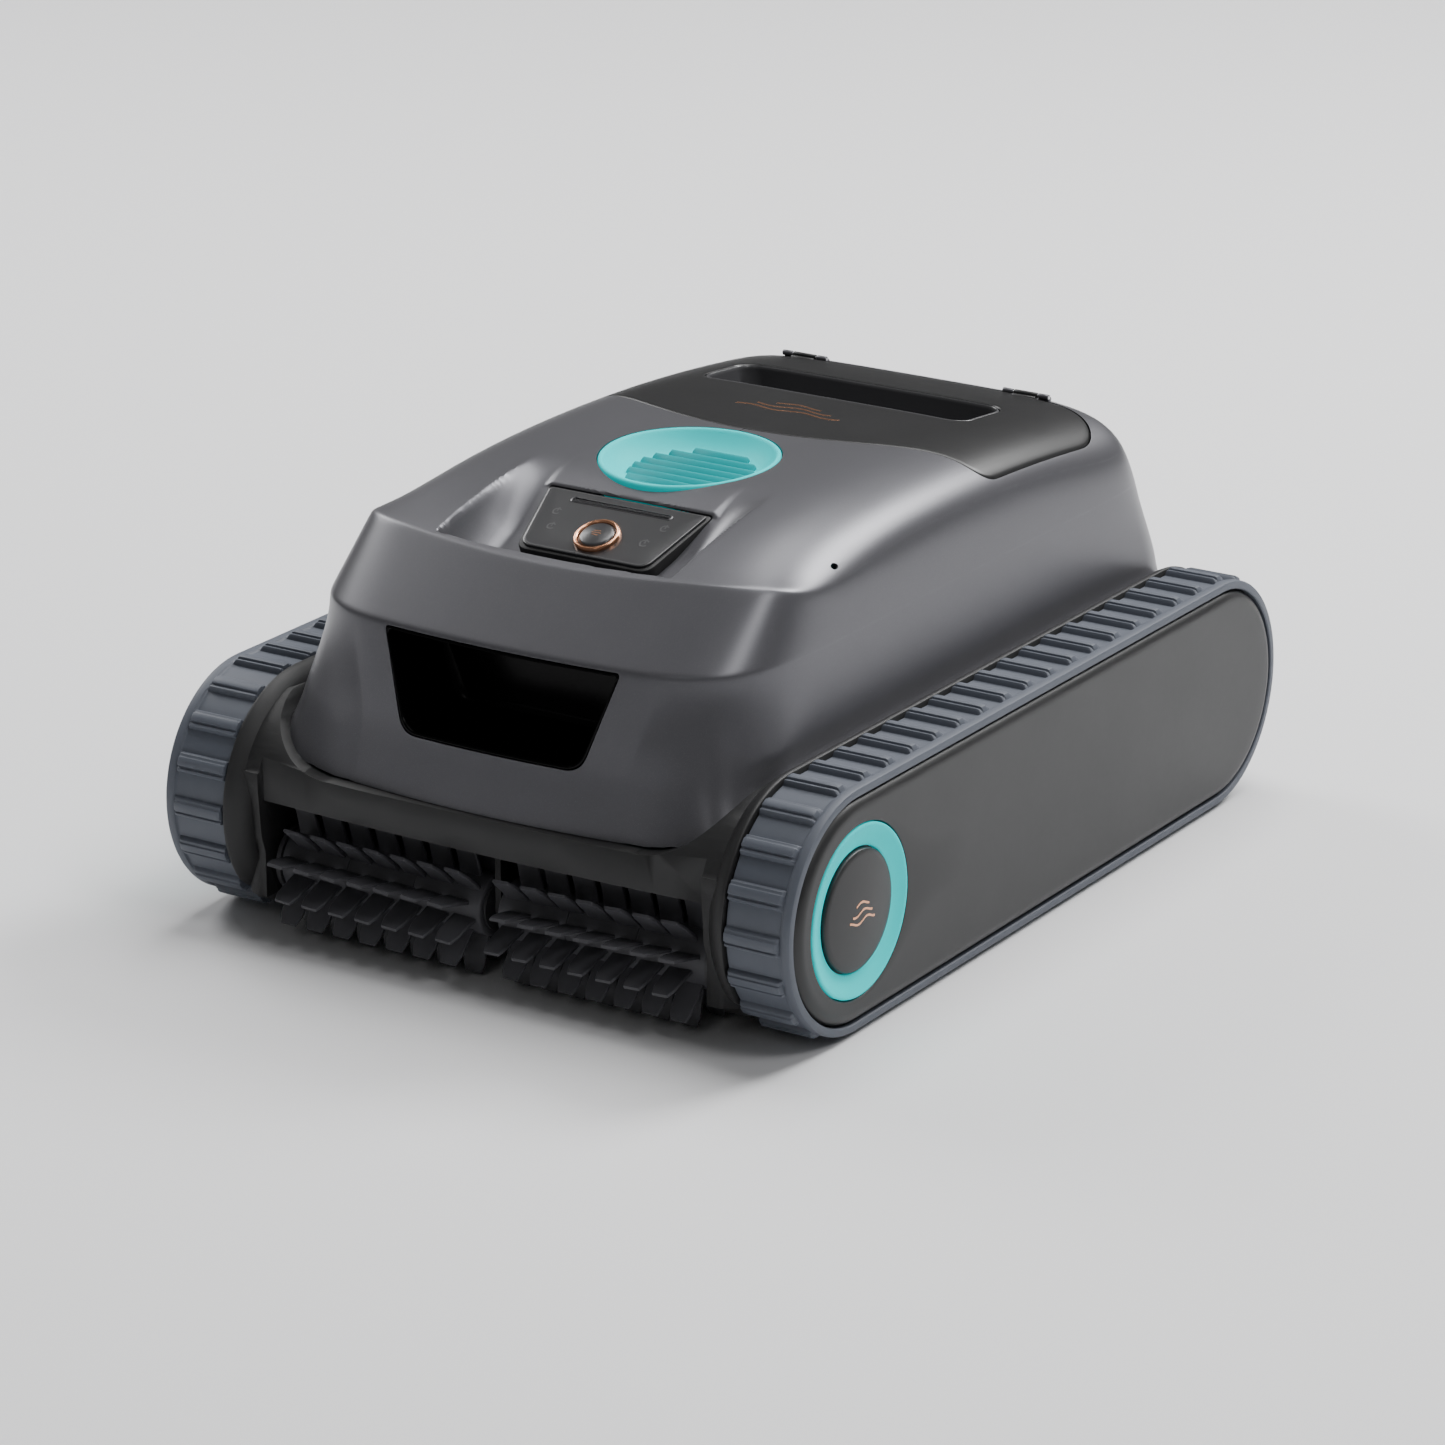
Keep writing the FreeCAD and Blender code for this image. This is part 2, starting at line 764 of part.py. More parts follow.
def brushChamber(radius, half, roofZ):
    """Round hollow over the brush, squared off towards the front."""
    drum = rodX(radius, -half, half, brushY, brushZ)
    mouth = block(-half, half, chassisFrontY - 12, brushY, -12, roofZ)
    return drum.fuse(mouth)


def makeCheek():
    """Side cheek beside the brush; its toe reaches down in front of the track wheel."""
    points = [
        (-231, cheekTopZ), (-231, 76), (-229, 52), (-222, 30), (-213, 13),
        (-206, 11), (-196, 12), (-182, bellyZ), (cheekBackY, bellyZ), (cheekBackY, cheekTopZ),
    ]
    return prismX(points, chamberHalf, chassisHalf)


def fenderForm(inset):
    """Side view limit of the chassis: both ends are rounded down over the wheels."""
    radius = fenderR - inset
    middle = block(-beyondX, beyondX, -wheelY, wheelY, -20, 140)
    low = block(-beyondX, beyondX, -250, 250, -20, wheelZ + 23)
    ends = [rodX(radius, -beyondX, beyondX, -wheelY, wheelZ), rodX(radius, -beyondX, beyondX, wheelY, wheelZ)]
    return middle.fuse([low] + ends)


def makeChassis():
    outer = prismZ(chassisPlan(0.0), bellyZ, tubTopZ)
    tubProfile = [
        (chassisFrontY - 10, bellyZ), (206, bellyZ), (216, 26), (chassisRearY + 0.5, 62),
        (chassisRearY + 0.5, tubTopZ), (chassisFrontY - 10, tubTopZ),
    ]
    outer = outer.common(prismX(tubProfile, -beyondX, beyondX)).common(fenderForm(0.0))
    under = belowShellEdge(seam, -beyondY, beyondY)
    outer = outer.common(under)
    cavity = prismZ(chassisPlan(chassisWall), bellyZ + chassisWall, tubTopZ)
    cavity = cavity.common(prismX([(y - 3.5, z + 3.5) if y > 0 else (y, z) for y, z in tubProfile],
        -beyondX, beyondX))
    cavity = cavity.common(belowShellEdge(seam + chassisWall, -beyondY,
        beyondY)).common(fenderForm(chassisWall))
    opening = prismZ(chassisPlan(chassisWall + 13.5), 60, 130)
    body = outer.cut(cavity).cut(opening)
    chamberWall = brushChamber(chamberR + 3.0, chamberHalf + 3.0, 73.0).common(outer)
    body = body.fuse(chamberWall)
    for cheek in (makeCheek(), mirrored(makeCheek())):
        body = body.fuse(cheek.common(under).common(fenderForm(0.0)))
    body = body.cut(brushChamber(chamberR, chamberHalf, 70.0))
    for side in (-1, 1):
        x0, x1 = sideSpan(side, bossX, chassisHalf)
        body = body.fuse(rodX(12, x0, x1, wheelY, wheelZ))
        for y in (-rollerY, rollerY):
            body = body.fuse(rodX(6.5, x0, x1, y, rollerAxisZ))
            body = body.cut(rodX(rollerAxleR, x0 - 1, x1 + 1, y, rollerAxisZ))
        body = body.cut(rodX(axleR, x0 - 1, x1 + 1, wheelY, wheelZ))
        x0, x1 = sideSpan(side, frontAxleX, chassisHalf + 1)
        body = body.cut(rodX(axleR, x0, x1, -wheelY, wheelZ))
        x0, x1 = sideSpan(side, chamberHalf - 1, chassisHalf + 1)
        body = body.cut(rodX(bushR, x0, x1, brushY, brushZ))
        body = body.cut(rodX(motorNoseR, x0, x1, motorY, motorZ))
    body = body.cut(block(-intakeHalf, intakeHalf, intakeFrontY, intakeRearY, 0, 40))
    body = body.cut(rodY(socketR, 200, 240, socketX, socketZ))
    for x, y in screwSpots:
        body = body.cut(rodZ(screwHeadR + 0.2, bellyZ - 1, bellyZ + screwHeadDeep, x, y))
    return body


rollerAxisZ = wheelZ - beltInnerR + 0.4 + rollerR
screwSpots = [(x, y) for x in (-screwX, screwX) for y in screwYs]


def makeBellyScrews():
    screws = []
    for x, y in screwSpots:
        head = rodZ(screwHeadR, bellyZ + 0.2, bellyZ + screwHeadDeep, x, y)
        drive = rodZ(screwDriveR, bellyZ, bellyZ + 1.0, x, y)
        screws.append(head.cut(drive))
    return screws


def makeBrushBracket():
    hanger = block(-hangerHalfX, hangerHalfX, brushY - hangerHalfY, brushY + hangerHalfY, brushZ,
        brushZ + chamberR + 1)
    pin = rodX(centrePinR, -24, 24, brushY, brushZ)
    foot = rodX(hangerHalfY, -hangerHalfX, hangerHalfX, brushY, brushZ)
    bracket = hanger.fuse([pin, foot])
    return bracket.common(rodX(chamberR, -30, 30, brushY, brushZ))


def makeIntakeThroat():
    z0 = bellyZ + chassisWall
    outer = block(-intakeHalf - throatWall, intakeHalf + throatWall,
                  intakeFrontY - throatWall, intakeRearY + throatWall, z0, basketZ0)
    flange = block(-intakeHalf - 9, intakeHalf + 9, intakeFrontY - 9, intakeRearY + 9, z0, z0 + 3)
    hole = block(-intakeHalf, intakeHalf, intakeFrontY, intakeRearY, z0 - 1, basketZ0 + 1)
    return outer.fuse(flange).cut(hole)


# ---------------------------------------------------------------- dry box
def makeDryBox():
    outer = block(-boxHalf, boxHalf, boxFrontY, boxRearY, boxZ0, boxZ1)
    inner = block(-boxHalf + boxWall, boxHalf - boxWall, boxFrontY + boxWall,
                  boxRearY - boxWall, boxZ0 + boxWall, boxZ1 + 1)
    return outer.cut(inner)


def makeGasket():
    m = 0.8
    outer = block(-boxHalf + m, boxHalf - m, boxFrontY + m, boxRearY - m, boxZ1, boxZ1 + gasketThick)
    w = boxWall - m
    inner = block(-boxHalf + m + w, boxHalf - m - w, boxFrontY + m + w, boxRearY - m - w,
        boxZ1 - 1, boxZ1 + 3)
    return outer.cut(inner)


def makeDryBoxCover():
    z = boxZ1 + gasketThick
    plate = block(-boxHalf, boxHalf, boxFrontY, boxRearY, z, z + coverThick)
    return plate.cut(rodZ(6, z - 1, z + coverThick + 1, 0, ventY + 14))


def makeBatteryCells():
    cells = []
    z = boxZ0 + boxWall + cellR + 1
    for column in range(3):
        x = (column - 1) * (cellLength + 3) - cellLength / 2
        for row in range(5):
            y = boxRearY - boxWall - cellR - 3 - row * (2 * cellR + 1.2)
            cells.append(rodX(cellR, x, x + cellLength, y, z))
    return cells


def makeMainBoard():
    z = boxZ0 + boxWall + 2 * cellR + 8
    board = block(-boardHalf, boardHalf, boardFrontY, boardRearY, z, z + boardThick)
    for x, y, w, d, h in ((-70, -110, 24, 24, 3), (-20, -60, 36, 20, 8), (40, -105, 18, 30, 12),
        (60, -50, 16, 16, 6)):
        board = board.fuse(block(x, x + w, y, y + d, z + boardThick, z + boardThick + h))
    return board


# ---------------------------------------------------------------- filter basket
def makeBasketFrame():
    outer = block(-basketHalf, basketHalf, basketFrontY, basketRearY, basketZ0, basketZ1)
    w = basketWall
    inner = block(-basketHalf + w, basketHalf - w, basketFrontY + w, basketRearY - w, basketZ0 + w,
        basketZ1 + 1)
    frame = outer.cut(inner)
    rim = block(-basketHalf - 3, basketHalf + 3, basketFrontY - 3, basketRearY + 3, basketZ1 - 4, basketZ1)
    frame = frame.fuse(rim.cut(inner))
    windowZ0 = basketZ0 + windowMargin
    windowZ1 = basketZ1 - windowMargin
    for i in range(4):
        x0 = -basketHalf + 10 + i * windowPitchX
        frame = frame.cut(block(x0, x0 + windowWidthX, basketFrontY - 5, basketRearY + 5, windowZ0, windowZ1))
    for i in range(3):
        y0 = basketFrontY + 9 + i * windowPitchY
        frame = frame.cut(block(-basketHalf - 5, basketHalf + 5, y0, y0 + windowWidthY, windowZ0, windowZ1))
    collar = block(-intakeHalf - 3, intakeHalf + 3, intakeFrontY - 1.5, intakeRearY + 3, basketZ0,
        basketZ0 + 5)
    frame = frame.fuse(collar)
    for side in (-1, 1):
        x = side * (intakeHalf - 1.0)
        lug = block(x - 2.5, x + 2.5, flapPinY - 3, flapPinY + 3, basketZ0 + 4, flapPinZ + 3)
        frame = frame.fuse(lug)
        frame = frame.cut(rodX(flapPinR + runFit, x - 4, x + 4, flapPinY, flapPinZ))
    frame = frame.cut(block(-intakeHalf + 4, intakeHalf - 4, intakeFrontY + 3, intakeRearY - 2,
                            basketZ0 - 1, basketZ0 + 6))
    return frame


flapPinY = intakeFrontY - 2.0
flapPinZ = basketZ0 + 8.5


def makeBasketMesh():
    w = basketWall
    outer = block(-basketHalf + w, basketHalf - w, basketFrontY + w, basketRearY - w, basketZ0 + 8,
        basketZ1 - 6)
    t = w + meshThick
    inner = block(-basketHalf + t, basketHalf - t, basketFrontY + t, basketRearY - t, basketZ0 + 7, basketZ1)
    return outer.cut(inner)


def makeIntakeFlap():
    half = intakeHalf - 4.2
    seat = basketZ0 + 5.3
    plate = block(-half, half, flapPinY + 3, intakeRearY + 1, seat, seat + flapThick)
    web = block(-half, half, flapPinY - 1, flapPinY + 5, seat, flapPinZ + 1)
    pin = rodX(flapPinR, -intakeHalf - 1.0, intakeHalf + 1.0, flapPinY, flapPinZ)
    barrel = rodX(2.6, -half, half, flapPinY, flapPinZ)
    return plate.fuse([web, pin, barrel])


# ---------------------------------------------------------------- charging socket
capHingeZ = socketZ + capR + 2.5
capHingeY = chassisRearY + 3.2


def makeChargeSocket():
    body = rodY(socketR, chassisRearY - 18, chassisRearY, socketX, socketZ)
    flange = rodY(capR, chassisRearY, chassisRearY + 1.2, socketX, socketZ)
    socket = body.fuse(flange)
    for side in (-1, 1):
        x = socketX + side * 8.0
        lug = block(x - 2, x + 2, chassisRearY, capHingeY + 1.6, capHingeZ - 2.2, capHingeZ + 2.2)
        tie = block(x - 2, x + 2, chassisRearY, chassisRearY + 1.2, socketZ + 8, capHingeZ)
        socket = socket.fuse([lug, tie])
    socket = socket.cut(rodY(plugR, chassisRearY - plugDepth, chassisRearY + 3, socketX, socketZ))
    pin = rodX(capPinR, socketX - 8, socketX + 8, capHingeY, capHingeZ)
    socket = socket.fuse(pin)
    for dx in (-contactX, contactX):
        socket = socket.fuse(rodY(contactR, chassisRearY - plugDepth - 0.5, chassisRearY - 3,
            socketX + dx, socketZ))
    return socket


def makeChargeCap():
    y0 = chassisRearY + 1.6
    disc = rodY(capR, y0, y0 + capThick, socketX, socketZ)
    plug = rodY(7.0, chassisRearY - 1.5, y0 + 1, socketX, socketZ)
    strap = block(socketX - 5.5, socketX + 5.5, y0, y0 + capThick, socketZ + 9, capHingeZ)
    barrel = rodX(capBarrelR, socketX - 5.5, socketX + 5.5, capHingeY, capHingeZ)
    cap = disc.fuse([plug, strap, barrel])
    return cap.cut(rodX(capPinR + runFit, socketX - 9, socketX + 9, capHingeY, capHingeZ))


# ---------------------------------------------------------------- tracks
def stadium(radius, x0, x1):
    """Solid with two round ends on the wheel axes and straight runs between them."""
    top = wheelZ + radius
    low = wheelZ - radius
    edges = [
        line(vec(x0, -wheelY, top), vec(x0, wheelY, top)),
        arc(vec(x0, wheelY, top), vec(x0, wheelY + radius, wheelZ), vec(x0, wheelY, low)),
        line(vec(x0, wheelY, low), vec(x0, -wheelY, low)),
        arc(vec(x0, -wheelY, low), vec(x0, -wheelY - radius, wheelZ), vec(x0, -wheelY, top)),
    ]
    return Part.Face(Part.Wire(edges)).extrude(vec(x1 - x0, 0, 0))


def alongBelt(distance):
    """Angle and origin of a point on the belt's outer face, from the middle of the lower run."""
    run = 2 * wheelY
    bend = math.pi * beltOuterR
    d = distance % (2 * run + 2 * bend)
    if d < wheelY:
        return 180.0, d, wheelZ - beltOuterR
    d = d - wheelY
    if d < bend:
        a = -90.0 + math.degrees(d / beltOuterR)
        return a - 90.0, wheelY + beltOuterR * math.cos(math.radians(a)), wheelZ + beltOuterR * math.sin(math.radians(a))
    d = d - bend
    if d < run:
        return 0.0, wheelY - d, wheelZ + beltOuterR
    d = d - run
    if d < bend:
        a = 90.0 + math.degrees(d / beltOuterR)
        return a - 90.0, -wheelY + beltOuterR * math.cos(math.radians(a)), wheelZ + beltOuterR * math.sin(math.radians(a))
    d = d - bend
    return 180.0, -wheelY + d, wheelZ - beltOuterR


def makeBelt():
    band = stadium(beltOuterR, beltX0, beltX1).cut(stadium(beltInnerR, beltX0 - 1, beltX1 + 1))
    rim = stadium(beltOuterR + beltRimRise, beltRimX, beltX1 - 0.8)
    rim = rim.cut(stadium(beltInnerR + 1, beltRimX - 1, beltX1 + 1))
    middle = (wheelX0 + wheelX1) / 2
    guide = stadium(beltInnerR + 0.5, middle - guideHalf, middle + guideHalf)
    guide = guide.cut(stadium(beltInnerR - guideHeight, middle - 9, middle + 9))
    length = 4 * wheelY + 2 * math.pi * beltOuterR
    ribs = []
    for i in range(grouserCount):
        angle, y, z = alongBelt((i + 0.5) * length / grouserCount)
        outline = [(-4.2, -0.6), (4.2, -0.6), (2.9, grouserHeight), (-2.9, grouserHeight)]
        rib = prismX(outline, beltX0 + 0.5, beltRimX + 1.0)
        rib.rotate(vec(0, 0, 0), vec(1, 0, 0), angle)
        rib.translate(vec(0, y, z))
        ribs.append(rib)
    return band.fuse([rim, guide] + ribs)


def gearOutline(teeth, addendum, dedendum, thinning, turn, steps=3):
    """Involute outline as (y, z) points, with one tooth centred on the angle turn."""
    pitchR = teeth * gearModule / 2
    baseR = pitchR * math.cos(math.radians(pressureAngle))
    outerR = pitchR + addendum
    rootR = pitchR - dedendum
    half = math.pi / (2 * teeth) - thinning / (2 * pitchR)
    startR = max(baseR, rootR)

    def flank(radius):
        roll = math.acos(min(1.0, baseR / radius))
        return half + math.tan(math.radians(pressureAngle)) - math.radians(pressureAngle) - math.tan(roll) + roll

    profile = [(rootR, flank(startR))] if rootR < startR - 0.01 else []
    for i in range(steps + 1):
        radius = startR + (outerR - startR) * i / steps
        profile.append((radius, flank(radius)))
    points = []
    for tooth in range(teeth):
        centre = turn + 2 * math.pi * tooth / teeth
        for radius, angle in profile:
            points.append((radius * math.cos(centre - angle), radius * math.sin(centre - angle)))
        for radius, angle in reversed(profile):
            points.append((radius * math.cos(centre + angle), radius * math.sin(centre + angle)))
    return points


def shifted(points, y, z):
    return [(py + y, pz + z) for py, pz in points]


def makeWheel(y, meshAngle):
    rim = rodX(wheelR, wheelX0, wheelX1, y, wheelZ).cut(rodX(rimInnerR, wheelX0 - 1, wheelX1 + 1, y, wheelZ))
    ringGear = rodX(rimInnerR + 1, wheelX0 + 0.5, gearX1 + 0.5, y, wheelZ)
    spaces = gearOutline(ringTeeth, 1.25 * gearModule, 0.8 * gearModule, -toothThinning, meshAngle)
    ringGear = ringGear.cut(prismX(shifted(spaces, y, wheelZ), wheelX0 - 1, gearX1 + 2))
    web = rodX(rimInnerR + 1, webX0, webX1, y, wheelZ)
    hub = rodX(hubR, wheelX0 + 1, wheelX1, y, wheelZ)
    wheel = rim.fuse([ringGear, web, hub])
    middle = (wheelX0 + wheelX1) / 2
    groove = rodX(wheelR + 5, middle - guideHalf - 0.8, middle + guideHalf + 0.8, y, wheelZ)
    groove = groove.cut(rodX(wheelR - guideHeight - 0.6, middle - 9, middle + 9, y, wheelZ))
    wheel = wheel.cut(groove)
    for i in range(6):
        a = math.radians(30 + 60 * i)
        wheel = wheel.cut(rodX(webHoleR, webX0 - 1, webX1 + 1, y + webHoleAt * math.cos(a),
            wheelZ + webHoleAt * math.sin(a)))
    for i in range(wheelFlutes):
        a = 2 * math.pi * i / wheelFlutes
        fy = y + (wheelR + 0.7) * math.cos(a)
        fz = wheelZ + (wheelR + 0.7) * math.sin(a)
        wheel = wheel.cut(rodX(1.5, wheelX0 - 1, wheelX1 + 1, fy, fz))
    return wheel.cut(rodX(axleR + runFit, wheelX0 - 1, wheelX1 + 1, y, wheelZ))


def makeRoller(y):
    roller = rodX(rollerR, rollerX0, rollerX1, y, rollerAxisZ)
    middle = (wheelX0 + wheelX1) / 2
    groove = rodX(rollerR + 5, middle - guideHalf - 0.8, middle + guideHalf + 0.8, y, rollerAxisZ)
    groove = groove.cut(rodX(rollerR - guideHeight - 0.6, middle - 9, middle + 9, y, rollerAxisZ))
    roller = roller.cut(groove)
    for x0, x1 in ((rollerX0 - 1, rollerX0 + 7), (rollerX1 - 7, rollerX1 + 1)):
        dish = rodX(rollerR - 3.5, x0, x1, y, rollerAxisZ).cut(rodX(7, x0, x1, y, rollerAxisZ))
        roller = roller.cut(dish)
    return roller.cut(rodX(rollerAxleR + runFit, rollerX0 - 1, rollerX1 + 1, y, rollerAxisZ))


def makeAxles():
    return [
        rodX(axleR, frontAxleX, coverX0 + socketDepth, -wheelY, wheelZ),
        rodX(axleR, bossX, coverX0 + socketDepth, wheelY, wheelZ),
        rodX(rollerAxleR, bossX, coverX0 + socketDepth, -rollerY, rollerAxisZ),
        rodX(rollerAxleR, bossX, coverX0 + socketDepth, rollerY, rollerAxisZ),
    ]


def makePinion(y, z, angle, shaftX0, shaftR):
    outline = gearOutline(pinionTeeth, gearModule, 1.25 * gearModule, toothThinning, angle)
    gear = prismX(shifted(outline, y, z), gearX0, gearX1)
    return gear.fuse(rodX(shaftR, shaftX0, gearX1 + 1.0, y, z))


def makeSideCover():
    outer = stadium(coverR, coverX0, coverX1)
    edge = [e for e in outer.Edges if e.BoundBox.XMin > coverX1 - 0.01]
    outer = outer.makeChamfer(coverBevel, edge)
    inner = stadium(coverR - coverWall, coverX0 - 1, coverX1 - coverWall)
    edge = [e for e in inner.Edges if e.BoundBox.XMin > coverX1 - coverWall - 0.01]
    inner = inner.makeChamfer(coverBevel - 0.5, edge)
    cover = outer.cut(inner)
    tray = rodX(hubRingOuterR + 2.0, coverX0 + 0.5, coverX1 - 1, -wheelY, wheelZ)
    cover = cover.fuse(tray)
    cover = cover.cut(rodX(hubRingOuterR + 0.1, hubSeatX, coverX1 + 2, -wheelY, wheelZ))
    insideX = coverX1 - coverWall + 0.5
    sockets = [
        (-wheelY, wheelZ, axleR, hubSeatX), (wheelY, wheelZ, axleR, insideX),
        (-rollerY, rollerAxisZ, rollerAxleR, insideX), (rollerY, rollerAxisZ, rollerAxleR, insideX),
    ]
    for y, z, radius, x1 in sockets:
        cover = cover.fuse(rodX(radius + 4, coverX0, x1, y, z))
        cover = cover.cut(rodX(radius, coverX0 - 1, coverX0 + socketDepth, y, z))
    return cover


def makeHubRing():
    ring = rodX(hubRingOuterR, hubSeatX, coverX1 + 0.4, -wheelY, wheelZ)
    dish = Part.makeCone(hubRingInnerR - 1, hubRingOuterR - 1.5, 4.5,
                         vec(coverX1 - 4.0, -wheelY, wheelZ), vec(1, 0, 0))
    return ring.cut(dish).cut(rodX(hubRingInnerR, hubSeatX - 1, coverX1 + 2, -wheelY, wheelZ))


def makeHubCap():
    top = coverX1 + hubCapRise
    puck = rodX(hubRingInnerR - 0.2, hubSeatX, top, -wheelY, wheelZ)
    return puck.common(Part.makeSphere(hubDomeR, vec(top - hubDomeR, -wheelY, wheelZ)))


def makeDriveMotor():
    can = rodX(motorR, motorX0, motorX1, motorY, motorZ)
    nose = rodX(motorNoseR, motorX1 - 1, chassisHalf, motorY, motorZ)
    motor = can.fuse(nose)
    return motor.cut(rodX(motorShaftR + runFit, motorX1 - 12, chassisHalf + 1, motorY, motorZ))


# ---------------------------------------------------------------- brush
def makeBrushCore():
    core = rodX(brushCoreR, brushX0, brushX1, brushY, brushZ)
    core = core.cut(rodX(centrePinR + runFit, brushX0 - 1, 26.0, brushY, brushZ))
    flange = rodX(brushFlangeR, brushX1, brushX1 + 2.4, brushY, brushZ)
    journal = rodX(journalR, brushX1 + 1, gearX0 - 1.5, brushY, brushZ)
    core = core.fuse([flange, journal])
    return core.cut(rodX(2.5, 128.0, 146.0, brushY, brushZ))


def makeBlade(x, turn):
    """One flat rubber blade, slanted about its own length and standing on the sleeve."""
    blade = Part.makeBox(bladeWidth, bladeThick, brushR - sleeveR + 2,
                         vec(-bladeWidth / 2, -bladeThick / 2, sleeveR - 1.5))
    blade.rotate(vec(0, 0, 0), vec(0, 0, 1), bladeSlant)
    blade.rotate(vec(0, 0, 0), vec(1, 0, 0), turn)
    blade.translate(vec(x, brushY, brushZ))
    return blade


def makeBrushSleeve():
    sleeve = rodX(sleeveR, brushX0 + 1, brushX1, brushY, brushZ)
    pitch = (brushX1 - brushX0 - 4) / (bladesPerRow + 0.25)
    blades = []
    for row in range(bladeRows):
        start = brushX0 + 2 + pitch * (0.5 if row % 2 else 0.75)
        for i in range(bladesPerRow):
            blades.append(makeBlade(start + pitch * i, 360.0 * row / bladeRows + bladeTurn))
    sleeve = sleeve.fuse(blades)
    sleeve = sleeve.common(rodX(brushR, brushX0 + 0.5, brushX1 + 1.5, brushY, brushZ))
    return sleeve.cut(rodX(brushCoreR, brushX0 - 1, brushX1 + 2, brushY, brushZ))


def makeBrushBush():
    bush = rodX(bushR, chamberHalf, chassisHalf, brushY, brushZ)
    return bush.cut(rodX(journalR + runFit, chamberHalf - 1, chassisHalf + 1, brushY, brushZ))


# ---------------------------------------------------------------- build
os.makedirs("parts", exist_ok=True)

save("lower_chassis", makeChassis())
save("belly_screws", makeBellyScrews())
save("brush_bracket", makeBrushBracket())
save("intake_throat", makeIntakeThroat())
save("dry_box", makeDryBox())
save("dry_box_gasket", makeGasket())
save("dry_box_cover", makeDryBoxCover())
save("battery_cells", makeBatteryCells())
save("main_board", makeMainBoard())
save("pump_motor", makePumpMotor())
save("pump_duct", makePumpDuct())
save("propeller", makePropeller())
save("basket_frame", makeBasketFrame())
save("basket_mesh", makeBasketMesh())
save("intake_flap", makeIntakeFlap())
save("charge_socket", makeChargeSocket())
save("charge_cap", makeChargeCap())

save("top_shell", makeTopShell())
save("grip_liner", makeGripLiner())
save("vent_grille", makeVentGrille())
save("control_pod", makeControlPod())
save("control_panel", makeControlPanel())
save("light_bar", onPanel(lightBarSlot(0.0, -4.0, 0.15)))
save("button_ring", makeButtonRing())
save("power_button", makePowerButton())
save("button_spring", makeButtonSpring())
save("lid", makeLid())
save("handle_cup", makeHandleCup())
save("lid_seal", makeLidSeal())
save("lid_hinge_pins", makeHingePins())

saveBothSides("track_belt", makeBelt())
saveBothSides("side_cover", makeSideCover())
saveBothSides("hub_ring", makeHubRing())
saveBothSides("hub_cap", makeHubCap())
saveBothSides("axles", makeAxles())
saveBothSides("drive_wheel", makeWheel(wheelY, motorAngle))
saveBothSides("front_wheel", makeWheel(-wheelY, brushAngle))
saveBothSides("front_roller", makeRoller(-rollerY))
saveBothSides("rear_roller", makeRoller(rollerY))
saveBothSides("drive_motor", makeDriveMotor())
saveBothSides("motor_pinion", makePinion(motorY, motorZ, motorAngle, motorX1 - 11, motorShaftR))
saveBothSides("brush_core", makeBrushCore())
saveBothSides("brush_sleeve", makeBrushSleeve())
saveBothSides("brush_pinion", makePinion(brushY, brushZ, brushAngle, 128.0, 2.5))
saveBothSides("brush_bush", makeBrushBush())
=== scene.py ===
import json
import math

import bpy
import bmesh
import numpy as np
from mathutils import Matrix, Vector
from mathutils.bvhtree import BVHTree


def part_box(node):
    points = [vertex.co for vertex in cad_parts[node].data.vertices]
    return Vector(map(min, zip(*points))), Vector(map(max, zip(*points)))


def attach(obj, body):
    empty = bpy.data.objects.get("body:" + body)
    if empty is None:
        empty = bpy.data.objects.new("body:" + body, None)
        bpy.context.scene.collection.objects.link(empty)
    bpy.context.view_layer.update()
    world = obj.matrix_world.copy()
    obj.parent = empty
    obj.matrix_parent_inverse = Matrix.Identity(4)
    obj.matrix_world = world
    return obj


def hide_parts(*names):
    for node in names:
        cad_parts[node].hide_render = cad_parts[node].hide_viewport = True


# Tracked pool cleaner. Lengths below are millimetres in the frame's own axes,
# and become metres when a mesh is made.

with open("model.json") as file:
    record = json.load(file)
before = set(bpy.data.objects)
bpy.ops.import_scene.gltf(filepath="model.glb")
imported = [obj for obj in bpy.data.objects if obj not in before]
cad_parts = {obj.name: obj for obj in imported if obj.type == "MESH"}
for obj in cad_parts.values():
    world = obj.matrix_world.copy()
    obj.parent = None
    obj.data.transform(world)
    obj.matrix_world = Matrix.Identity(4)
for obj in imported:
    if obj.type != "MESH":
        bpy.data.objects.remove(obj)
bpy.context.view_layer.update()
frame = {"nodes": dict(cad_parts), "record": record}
mm = 0.001


def boxMm(node):
    low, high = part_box(node)
    return np.array(low) / mm, np.array(high) / mm


print("stage: frame loaded")


def smoothStep(t):
    t = np.clip(t, 0.0, 1.0)
    return t * t * (3 - 2 * t)


def softMin(a, b, blend):
    h = np.clip(0.5 + 0.5 * (b - a) / blend, 0, 1)
    return b + (a - b) * h - blend * h * (1 - h)


def gridFaces(rows, columns, wrapRows=False, wrapColumns=True):
    faces = []
    for r in range(rows if wrapRows else rows - 1):
        below = r * columns
        above = ((r + 1) % rows) * columns
        for c in range(columns if wrapColumns else columns - 1):
            d = (c + 1) % columns
            faces.append((below + c, below + d, above + d, above + c))
    return faces


def finishMesh(mesh, sharpAngle):
    work = bmesh.new()
    work.from_mesh(mesh)
    bmesh.ops.remove_doubles(work, verts=work.verts, dist=1e-6)
    bmesh.ops.recalc_face_normals(work, faces=work.faces)
    work.to_mesh(mesh)
    work.free()
    mesh.polygons.foreach_set("use_smooth", [True] * len(mesh.polygons))
    mesh.set_sharp_from_angle(angle=math.radians(sharpAngle))


def addPiece(name, points, faces, sharpAngle=40.0):
    mesh = bpy.data.meshes.new(name)
    mesh.from_pydata((np.asarray(points, float) * mm).tolist(), [], faces)
    finishMesh(mesh, sharpAngle)
    piece = bpy.data.objects.new(name, mesh)
    bpy.context.scene.collection.objects.link(piece)
    return piece


